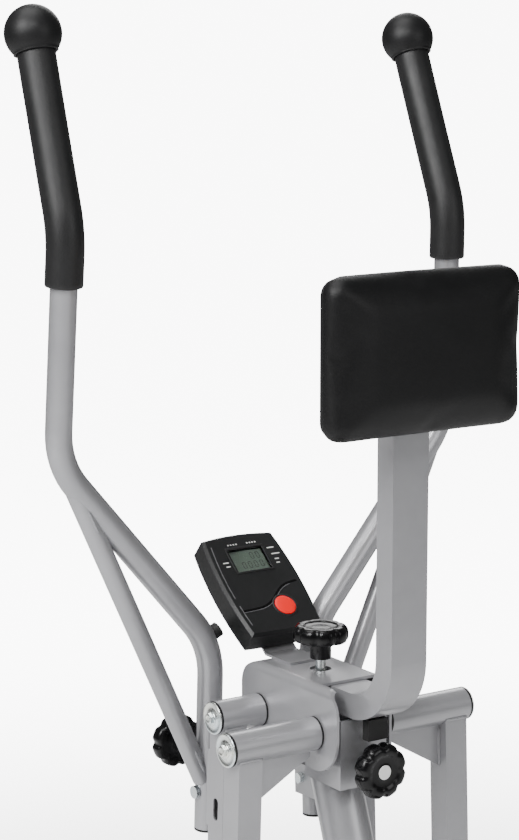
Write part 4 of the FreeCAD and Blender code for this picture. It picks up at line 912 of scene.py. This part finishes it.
def inflate(piece, back_y):
    """Swell the cover with a pressure cloth, its back held flat on the board."""
    rest = [vert.co.copy() for vert in piece.data.vertices]
    held = piece.vertex_groups.new(name="held")
    flat = [index for index, place in enumerate(rest) if place.y > back_y - HELD_DEPTH]
    held.add(flat, 1.0, "REPLACE")
    cloth = piece.modifiers.new("Cloth", "CLOTH")
    settings = cloth.settings
    settings.vertex_group_mass = "held"
    settings.use_pressure = True
    settings.uniform_pressure_force = 4.0
    settings.effector_weights.gravity = 0.0
    settings.quality = 5
    settings.tension_stiffness = 30.0
    settings.compression_stiffness = 30.0
    settings.bending_stiffness = 12.0
    cloth.point_cache.frame_start = 1
    cloth.point_cache.frame_end = CLOTH_FRAMES
    scene = bpy.context.scene
    for step in range(1, CLOTH_FRAMES + 1):
        scene.frame_set(step)
        bpy.context.view_layer.update()
    apply_modifier(piece, "Cloth")
    scene.frame_set(1)
    for vert, start in zip(piece.data.vertices, rest):
        move = vert.co - start
        if move.length > LARGEST_SWELL:
            vert.co = start + move * (LARGEST_SWELL / move.length)
    piece.vertex_groups.clear()


def held_in(value, low, high):
    """Value kept between two others."""
    return max(low, min(high, value))


def crown(piece, amount):
    """Raise the middle of the face and draw the sides in a little between the corners."""
    centre = at_head(*PAD_CENTRE)
    half = Vector(PAD_SIDES) * MM / 2
    low, high = CAD_PAD
    for vert in piece.data.vertices:
        across = held_in((vert.co.x - centre.x) / half.x, -1.0, 1.0)
        up = held_in((vert.co.z - centre.z) / half.z, -1.0, 1.0)
        front = held_in((centre.y + half.y - vert.co.y) / (2 * half.y), 0.0, 1.0)
        dome = (1 - across * across) * (1 - up * up)
        edge = max(abs(across), abs(up)) ** 8
        vert.co.y -= amount * dome * front
        vert.co.x -= SIDE_PINCH * edge * across * math.cos(up * math.pi / 2)
        vert.co.z -= SIDE_PINCH * edge * up * math.cos(across * math.pi / 2)
        for axis in (0, 2):
            vert.co[axis] = held_in(
                vert.co[axis], low[axis] - FABRIC_PROUD, high[axis] + FABRIC_PROUD)
        vert.co.y = held_in(vert.co.y, low[1] - 0.001, high[1])


class GLIDER_OT_cushion(bpy.types.Operator):
    """Make the crowned cushion, its seam and the staples of its back cover"""

    bl_idname = "glider.cushion"
    bl_label = "Cushion"

    def execute(self, context):
        piece = finish_piece(
            "Cushion", cushion_start(), "Leatherette", "pad", ("pad_cushion",),
            angle=180.0)
        use_modifier(piece, "Remesh", "REMESH", mode="VOXEL", voxel_size=VOXEL)
        apply_modifier(piece, "Remesh")
        inflate(piece, CAD_PAD[1][1])
        crown(piece, context.scene.glider_sizes.pad_crown)
        for polygon in piece.data.polygons:
            polygon.use_smooth = True
        use_modifier(piece, "Smooth", "SMOOTH", factor=0.5, iterations=14)
        use_modifier(piece, "Round", "SUBSURF", levels=1, render_levels=1)
        self.make_hem()
        self.make_staples()
        return {"FINISHED"}

    def make_hem(self):
        """Folded hem of the cover round the edge of the board."""
        width, _, height = PAD_SIDES
        shape = soft_box((0, 0, 0), (width - 10, 4.0, height - 10))
        rounded(shape, upright_edges(shape), 0.018, 10)
        rims = [edge for edge in shape.edges if edge.calc_face_angle(0) > 1.2]
        rounded(shape, rims, 0.0012, 3)
        matrix = Matrix.Translation(at_head(0, -179.4, PAD_CENTRE[2]))
        finish_piece(
            "Cushion_Hem", shape, "Leatherette", "pad", matrix=matrix)

    def make_staples(self):
        """Staples that hold the hem, clear of the post."""
        pins = []
        for x in range(-105, 106, 30):
            for up in (-72, 72):
                if abs(x) > 30:
                    pins.append(soft_box((x, -173.7, up + 463), (9, 0.7, 1.0), 0.25, 1))
        finish_piece(
            "Cushion_Staples", joined(pins), "Zinc_Plate", "pad",
            matrix=Matrix.Translation(HEAD))


# ---------------------------------------------------------------- fasteners and caps

def hexagon(radius, height, base):
    """Hexagon head along z with a turned chamfer."""
    shape = bmesh.new()
    made = bmesh.ops.create_cone(
        shape, cap_ends=True, segments=6, radius1=radius * MM, radius2=radius * MM,
        depth=height * MM)
    bmesh.ops.translate(shape, vec=(0, 0, (base + height / 2) * MM), verts=made["verts"])
    level = (base + height) * MM - 1e-6
    top = [edge for edge in shape.edges if all(vert.co.z > level for vert in edge.verts)]
    rounded(shape, top, 0.0009, 2)
    return shape


def washer_shape():
    """Dished washer with a pressed rim and a raised middle."""
    return spun((
        (0.0, 0.0), (19.2, 0.0), (19.9, 0.4), (20.0, 1.1), (19.5, 1.8), (18.6, 2.1), (17.2, 1.9),
        (15.8, 1.3), (13.0, 1.0), (11.6, 1.2), (10.6, 1.9), (9.8, 2.4), (8.0, 2.5), (0.0, 2.5),
    ), steps=72)


def bolt_shape():
    """Hexagon bolt head on a flange, with a shallow dimple."""
    flange = spun(
        ((0.0, 2.4), (8.4, 2.4), (8.8, 2.8), (8.4, 3.3), (7.4, 3.6), (0.0, 3.6)), steps=48)
    head = hexagon(7.3, 4.0, 3.5)
    dimple = spun(
        ((0.0, 7.3), (4.6, 7.5), (5.0, 7.8), (4.4, 7.95), (3.6, 7.6), (0.0, 7.4)), steps=36)
    return joined([flange, head, dimple])


class GLIDER_OT_fasteners(bpy.types.Operator):
    """Make the dished washers and bolts at the ends of the axles"""

    bl_idname = "glider.fasteners"
    bl_label = "Axle fasteners"

    def execute(self, context):
        parts = []
        for end, hung_on in ((172.5, "rear"), (116.0, "front")):
            y = AXLE_Y[hung_on]
            for sign in (-1, 1):
                for shape in (washer_shape(), bolt_shape()):
                    place = facing(Vector((sign * end, y, 0)) * MM, (sign, 0, 0))
                    bmesh.ops.transform(shape, matrix=place, verts=shape.verts)
                    parts.append(shape)
        finish_piece("Axle_Fasteners", joined(parts), "Zinc_Plate", "frame",
                     ("axle_end_fasteners",), Matrix.Translation(HEAD))
        return {"FINISHED"}


BAR_END = 224.0
BAR_HEIGHT = -718.0
LEG_END = -633.2
POST_END = 535.8


def plug_shape(place, plate, bevel, skirt, drop, skirt_bevel, skirt_segments=3):
    """Plug in the end of a tube: a thin plate, and a skirt that reaches into the tube."""
    x, y, z = place
    return joined([
        soft_box(place, plate, bevel),
        soft_box((x, y, z + drop), skirt, skirt_bevel, skirt_segments),
    ])


def floor_cap(sign, y):
    """Rubber cap on the end of a floor bar: ribbed skirt, rounded end, flat foot."""
    profile = [(25.1, 0.0), (31.4, 0.0), (32.6, 1.0), (33.0, 2.6)]
    for rib in range(5):
        start = 6.0 + rib * 6.0
        profile += [
            (33.0, start), (31.8, start + 0.8), (31.8, start + 2.2), (33.0, start + 3.0)]
    profile += [
        (33.0, 38.0), (32.2, 41.6), (30.0, 44.0), (27.0, 45.0), (9.0, 45.0), (8.0, 44.2),
        (0.0, 44.2)]
    shape = spun(profile, steps=72)
    matrix = facing(Vector((sign * BAR_END, y, BAR_HEIGHT)) * MM, (sign, 0, 0))
    bmesh.ops.transform(shape, matrix=matrix, verts=shape.verts)
    for vert in shape.verts:
        vert.co.z = max(vert.co.z, -HEAD.z)
    return shape


class GLIDER_OT_caps(bpy.types.Operator):
    """Make the floor caps and the plugs in the open ends of the tubes"""

    bl_idname = "glider.caps"
    bl_label = "Caps and plugs"

    def execute(self, context):
        place = Matrix.Translation(HEAD)
        for body, node in (("frame", "rear_floor_caps"), ("front_stand", "front_floor_caps")):
            low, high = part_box(node)
            y = ((low[1] + high[1]) / 2 - HEAD.y) / MM
            shape = joined([floor_cap(sign, y) for sign in (-1, 1)])
            finish_piece(
                node.title(), shape, "Rubber_Black", body, (node,), place)
        for side, sign in SIDES:
            for hung_on, x in (("front", 94.0), ("rear", 149.0)):
                shape = plug_shape(
                    (sign * x, AXLE_Y[hung_on], LEG_END), (31.6, 31.6, 1.6), 0.7,
                    (27.6, 27.6, 17.0), 9.2, 1.2)
                finish_piece(
                    "%s_%s_Leg_Plug" % (side.title(), hung_on.title()), shape,
                    "Rubber_Black", "%s_%s_swing" % (side, hung_on),
                    matrix=hung(side, hung_on))
        shape = plug_shape(
            (0, -159.0, POST_END), (49.0, 29.0, 1.6), 0.7, (45.6, 25.6, 18.0), -9.8, 1.0, 2)
        finish_piece(
            "Pad_Post_Plug", shape, "Rubber_Black", "pad", matrix=place)
        return {"FINISHED"}


# ---------------------------------------------------------------- welds

BRACE_FOOT = Vector((85.0, 127.0, -104.0))
BRACE_TOP = Vector((269.6, 127.0, 283.6))
BRACE_HALF = 12.3
PIVOT_DROP = -12.5
LEG_HALF = 16.0


def pivot_beads(sign, x, axle, seed):
    """Beads under a pivot tube, on the two faces of its leg."""
    beads = []
    for dy in (-1, 1):
        start = (sign * x, AXLE_Y[axle] + dy * LEG_HALF, PIVOT_DROP)
        beads.append(
            bead(start, (sign, 0, 0), (0, dy, 0), 2 * LEG_HALF, radius=2.2, seed=seed + dy))
    return beads


def gusset_beads(sign):
    """Beads along the two edges of a rear leg's gusset."""
    beads = []
    for dy, y in ((-1, -60.0), (1, -56.0)):
        beads.append(bead(
            (sign * 58.0, y, -19.2), (sign, 0, 0), (0, dy, 0), 74.0, radius=1.9, seed=11 + dy))
        beads.append(bead(
            (sign * 132.6, y, -24.0), (0, 0, -1), (0, dy, 0), 46.0, radius=1.8, seed=17 + dy))
    return beads


def brace_beads(sign):
    """Beads at both ends of a handle's brace."""
    foot = Vector((sign * BRACE_FOOT.x, BRACE_FOOT.y, BRACE_FOOT.z))
    top = Vector((sign * BRACE_TOP.x, BRACE_TOP.y, BRACE_TOP.z))
    run = (top - foot).normalized()
    beads = []
    for dy in (-1, 1):
        start = foot + Vector((sign * 4.5, dy * BRACE_HALF, 12.0))
        beads.append(bead(start, run, (0, dy, 0), 34.0, radius=2.0, seed=31 + dy))
        start = top + Vector((0, dy * BRACE_HALF, 0)) - run * 58.0
        beads.append(bead(start, run, (0, dy, 0), 30.0, radius=2.0, seed=37 + dy))
    return beads


class GLIDER_OT_welds(bpy.types.Operator):
    """Lay the weld beads where tubes and plates meet"""

    bl_idname = "glider.welds"
    bl_label = "Welds"

    def execute(self, context):
        for side, sign in SIDES:
            rear = pivot_beads(sign, 133.0, "rear", 7) + gusset_beads(sign)
            front = pivot_beads(sign, 78.0, "front", 23) + brace_beads(sign)
            front.append(ring_bead((sign * 77.0, 75.8, -78.0), (0, 1, 0), 11.4, 1.6, 41))
            for beads, place, hung_on in (
                (rear, "_Rear_Leg_Welds", "rear"), (front, "_Handle_Welds", "front"),
            ):
                finish_piece(
                    side.title() + place, joined(beads), "Weld_Paint",
                    "%s_%s_swing" % (side, hung_on),
                    matrix=hung(side, hung_on))
        return {"FINISHED"}


# ---------------------------------------------------------------- computer

CONSOLE_TILT = math.radians(40.0)
SUNK = 0.25
PRINT_HEIGHT = 0.25
FIGURE_PITCH = 8.6
FIGURE_ROWS = ((44.0, 2), (30.5, 4))
ZERO_SEGMENTS = (
    (0, 4.6, 3.4, 0.8), (0, -4.6, 3.4, 0.8), (-2.1, 2.3, 0.8, 3.8), (2.1, 2.3, 0.8, 3.8),
    (-2.1, -2.3, 0.8, 3.8), (2.1, -2.3, 0.8, 3.8),
)
RIDGE_LINES = (
    ((-45.5, -60), (-47.5, -44), (-48.6, -30)),
    ((-49.4, -18), (-50.0, 0), (-49.4, 20), (-47.8, 40), (-45.0, 62)),
)
BEZEL_BARS = (
    (0, 18.8, 56, 3.2), (0, -18.8, 56, 3.2), (-26.8, 0, 3.2, 34.6), (26.8, 0, 3.2, 34.6),
)
PRINTED_BARS = (
    (-36, 36, 8), (-35, 30, 6), (37, 50, 10), (40, 40, 12), (38, 32, 6), (37, 26, 5),
)


def console_matrix():
    """Frame of the computer: x across, y up its face, z out of its face."""
    return Matrix.Translation(at_head(0, 125, 138)) @ Matrix.Rotation(CONSOLE_TILT, 4, "X")


def strip(points, width, height, base):
    """Low rounded bars along a line on the face, from points in millimetres."""
    pieces = []
    for first, last in zip(points, points[1:]):
        run = Vector((last[0] - first[0], last[1] - first[1], 0))
        shape = soft_box(
            (0, 0, base + height / 2), (run.length + width * 0.5, width, height),
            min(width, height) * 0.3, 2)
        turn = Matrix.Rotation(math.atan2(run.y, run.x), 4, "Z")
        middle = Vector(((first[0] + last[0]) / 2, (first[1] + last[1]) / 2, 0)) * MM
        bmesh.ops.transform(
            shape, matrix=Matrix.Translation(middle) @ turn, verts=shape.verts)
        pieces.append(shape)
    return pieces


def groove_line():
    """Points of the S-shaped groove across the face."""
    points = []
    for step in range(25):
        part = step / 24
        rise = 1 / (1 + math.exp(-10 * (part - 0.60)))
        points.append((-48.5 + 96 * part, -38 + 34 * rise))
    return points


def display_figures():
    """Seven-segment zeros in two rows."""
    marks = []
    for row, count in FIGURE_ROWS:
        for number in range(count):
            x = 16.0 - (count - 1 - number) * FIGURE_PITCH
            for dx, dy, width, height in ZERO_SEGMENTS:
                marks.append(soft_box((x + dx, row + dy, -2.86), (width, height, 0.12)))
    return marks


def printed_marks():
    """Plain bars beside the display and a broken row of dots above it."""
    marks = []
    for x, y, width in PRINTED_BARS:
        marks.append(soft_box((x, y, 0.05), (width, 1.5, PRINT_HEIGHT), 0.05, 1))
    for step in range(11):
        if step not in (4, 5, 6):
            x = -20 + step * 4.0
            marks.append(soft_box((x, 62, 0.05), (1.8, 1.8, PRINT_HEIGHT), 0.05, 1))
    return marks


class GLIDER_OT_console(bpy.types.Operator):
    """Add the computer's ridge and groove as strips of painted highlight and painted shade, and
    its bezel, display figures, marks and button
    """

    bl_idname = "glider.console"
    bl_label = "Computer"

    def execute(self, context):
        place = console_matrix()
        groove = groove_line()
        edge = [(x + 0.6, y - 2.3) for x, y in groove[:22]]
        # Painted highlight: the ridge lines are pale strips on the dark housing.
        ridges = [bar for line in RIDGE_LINES for bar in strip(line, 1.3, 0.7, -0.2)]
        bezel = [
            soft_box((dx, 37 + dy, 0.1), (width, height, 1.4), 0.6)
            for dx, dy, width, height in BEZEL_BARS]
        for name, shapes, finish, slot in (
            ("Console_Ridge", ridges, "Ridge_Painted_Highlight", "console_plastic"),
            # Painted shade: the groove is a near-black strip laid along the S-line.
            ("Console_Groove", strip(groove, 3.0, 0.5, -SUNK), "Groove_Painted_Shade", "console_plastic"),
            # Painted highlight: a pale strip along the lower lip of the groove.
            ("Console_Groove_Edge", strip(edge, 0.9, 0.6, -SUNK), "Ridge_Painted_Highlight",
             "console_plastic"),
            ("Console_Bezel", bezel, "Nylon_Black", "console_plastic"),
            ("Display_Figures", display_figures(), "Display_Ink", "circuit_board"),
            ("Console_Marks", printed_marks(), "Mark_White", "console_plastic"),
        ):
            finish_piece(name, joined(shapes), finish, "frame", matrix=place)
        self.make_button(place)
        return {"FINISHED"}

    def make_button(self, place):
        """Domed push button in a dark ring."""
        spot = place @ Matrix.Translation(Vector((14, -38.5, 0)) * MM)
        cap = spun((
            (0.0, -4.6), (16.0, -4.6), (16.0, -3.0), (14.0, -3.0), (14.0, 0.2), (13.7, 0.9),
            (12.9, 1.3), (10.0, 1.7), (6.0, 2.0), (2.5, 2.1), (0.0, 2.12),
        ), steps=72)
        finish_piece(
            "Console_Button", cap, "Button_Red", "console_button",
            ("console_button",), spot)
        ring = spun((
            (14.5, -1.0), (14.5, 0.5), (15.0, 0.9), (16.4, 0.8), (17.2, 0.2), (17.3, -1.0),
            (14.5, -1.0),
        ), steps=72)
        finish_piece(
            "Console_Button_Ring", ring, "Nylon_Black", "frame", matrix=spot)


# ---------------------------------------------------------------- stage

# Name, place, aim, width and power of each soft light.
LAMPS = (
    ("Key", (-3.4, -0.6, 3.4), (0, 0, 1.0), 2.2, 230),
    ("Fill", (1.2, -4.6, 2.6), (0, 0, 0.9), 2.6, 55),
    ("Spark", (-1.6, -1.9, 3.4), (0, 0, 0.9), 0.45, 42),
    ("Back", (2.6, 3.6, 3.4), (0, 0, 1.0), 2.4, 75),
    ("Top", (-0.6, 0.6, 4.6), (0, 0, 0.6), 2.6, 95),
)
FLOOR_RADIUS = 40.0
CAMERA_PLACE = (-1.6273, -2.2514, 1.5958)
CAMERA_TURN = (math.radians(80.1932), 0.0, math.radians(-33.8261))
FOCAL_LENGTH = 103.81


class GLIDER_OT_stage(bpy.types.Operator):
    """Set the floor, the soft lights and the camera"""

    bl_idname = "glider.stage"
    bl_label = "Stage"

    def execute(self, context):
        self.make_floor_disc(context.scene)
        self.make_lights(context.scene)
        self.make_world(context.scene)
        self.make_camera(context.scene)
        return {"FINISHED"}

    def make_floor_disc(self, scene):
        """Wide round floor at height zero."""
        shape = bmesh.new()
        bmesh.ops.create_circle(shape, cap_ends=True, segments=96, radius=FLOOR_RADIUS)
        mesh = bpy.data.meshes.new("Floor")
        shape.to_mesh(mesh)
        shape.free()
        mesh.materials.append(MATERIALS["Studio_Floor"])
        floor = bpy.data.objects.new("Floor", mesh)
        scene.collection.objects.link(floor)

    def make_lights(self, scene):
        """Square area lights, each turned to its aim."""
        for name, place, aim, size, power in LAMPS:
            lamp = bpy.data.lights.new(name, "AREA")
            lamp.shape = "SQUARE"
            lamp.size = size
            lamp.energy = power
            item = bpy.data.objects.new(name, lamp)
            item.location = place
            heading = Vector(aim) - Vector(place)
            item.rotation_euler = heading.to_track_quat("-Z", "Y").to_euler()
            scene.collection.objects.link(item)

    def make_world(self, scene):
        """White surroundings that glow for the camera and light the machine only faintly."""
        world = bpy.data.worlds.new("Studio")
        world.use_nodes = True
        tree = world.node_tree
        ground = tree.nodes["Background"]
        ground.inputs["Color"].default_value = (1.0, 1.0, 1.0, 1.0)
        rays = tree.nodes.new("ShaderNodeLightPath")
        glow = maths(tree, "MULTIPLY", rays.outputs["Is Camera Ray"], BACKDROP_GLOW)
        tree.links.new(maths(tree, "ADD", glow, AMBIENT), ground.inputs["Strength"])
        scene.world = world

    def make_camera(self, scene):
        """Camera on the user's side, to the left and above the cushion."""
        lens = bpy.data.cameras.new("Camera")
        lens.lens = FOCAL_LENGTH
        lens.sensor_width = 36.0
        lens.sensor_fit = "AUTO"
        lens.clip_end = 200.0
        camera = bpy.data.objects.new("Camera", lens)
        camera.location = CAMERA_PLACE
        camera.rotation_euler = CAMERA_TURN
        scene.collection.objects.link(camera)
        scene.camera = camera


# ---------------------------------------------------------------- add-on

OPERATORS = (
    GLIDER_OT_finishes, GLIDER_OT_stage, GLIDER_OT_knobs, GLIDER_OT_grips, GLIDER_OT_cushion,
    GLIDER_OT_fasteners, GLIDER_OT_caps, GLIDER_OT_welds, GLIDER_OT_console,
)


class GLIDER_PT_panel(bpy.types.Panel):
    """Sidebar panel with the pieces and their settings"""

    bl_idname = "GLIDER_PT_panel"
    bl_label = "Glider"
    bl_space_type = "VIEW_3D"
    bl_region_type = "UI"
    bl_category = "Glider"

    def draw(self, context):
        for group in (context.scene.glider_sizes, context.scene.glider_finishes):
            box = self.layout.box()
            for name in group.__annotations__:
                box.prop(group, name)
        for operator in OPERATORS:
            self.layout.operator(operator.bl_idname)


CLASSES = (GliderFinishes, GliderSizes, *OPERATORS, GLIDER_PT_panel)


def register():
    """Add the classes and the settings."""
    for item in CLASSES:
        bpy.utils.register_class(item)
    bpy.types.Scene.glider_finishes = PointerProperty(type=GliderFinishes)
    bpy.types.Scene.glider_sizes = PointerProperty(type=GliderSizes)


def unregister():
    """Remove the settings and the classes."""
    del bpy.types.Scene.glider_sizes
    del bpy.types.Scene.glider_finishes
    for item in reversed(CLASSES):
        bpy.utils.unregister_class(item)


def main():
    """Make everything."""
    register()
    bpy.ops.glider.finishes()
    bpy.ops.glider.stage()
    bpy.ops.glider.knobs()
    bpy.ops.glider.grips()
    bpy.ops.glider.cushion()
    bpy.ops.glider.fasteners()
    bpy.ops.glider.caps()
    bpy.ops.glider.welds()
    bpy.ops.glider.console()


if __name__ == "__main__":
    main()
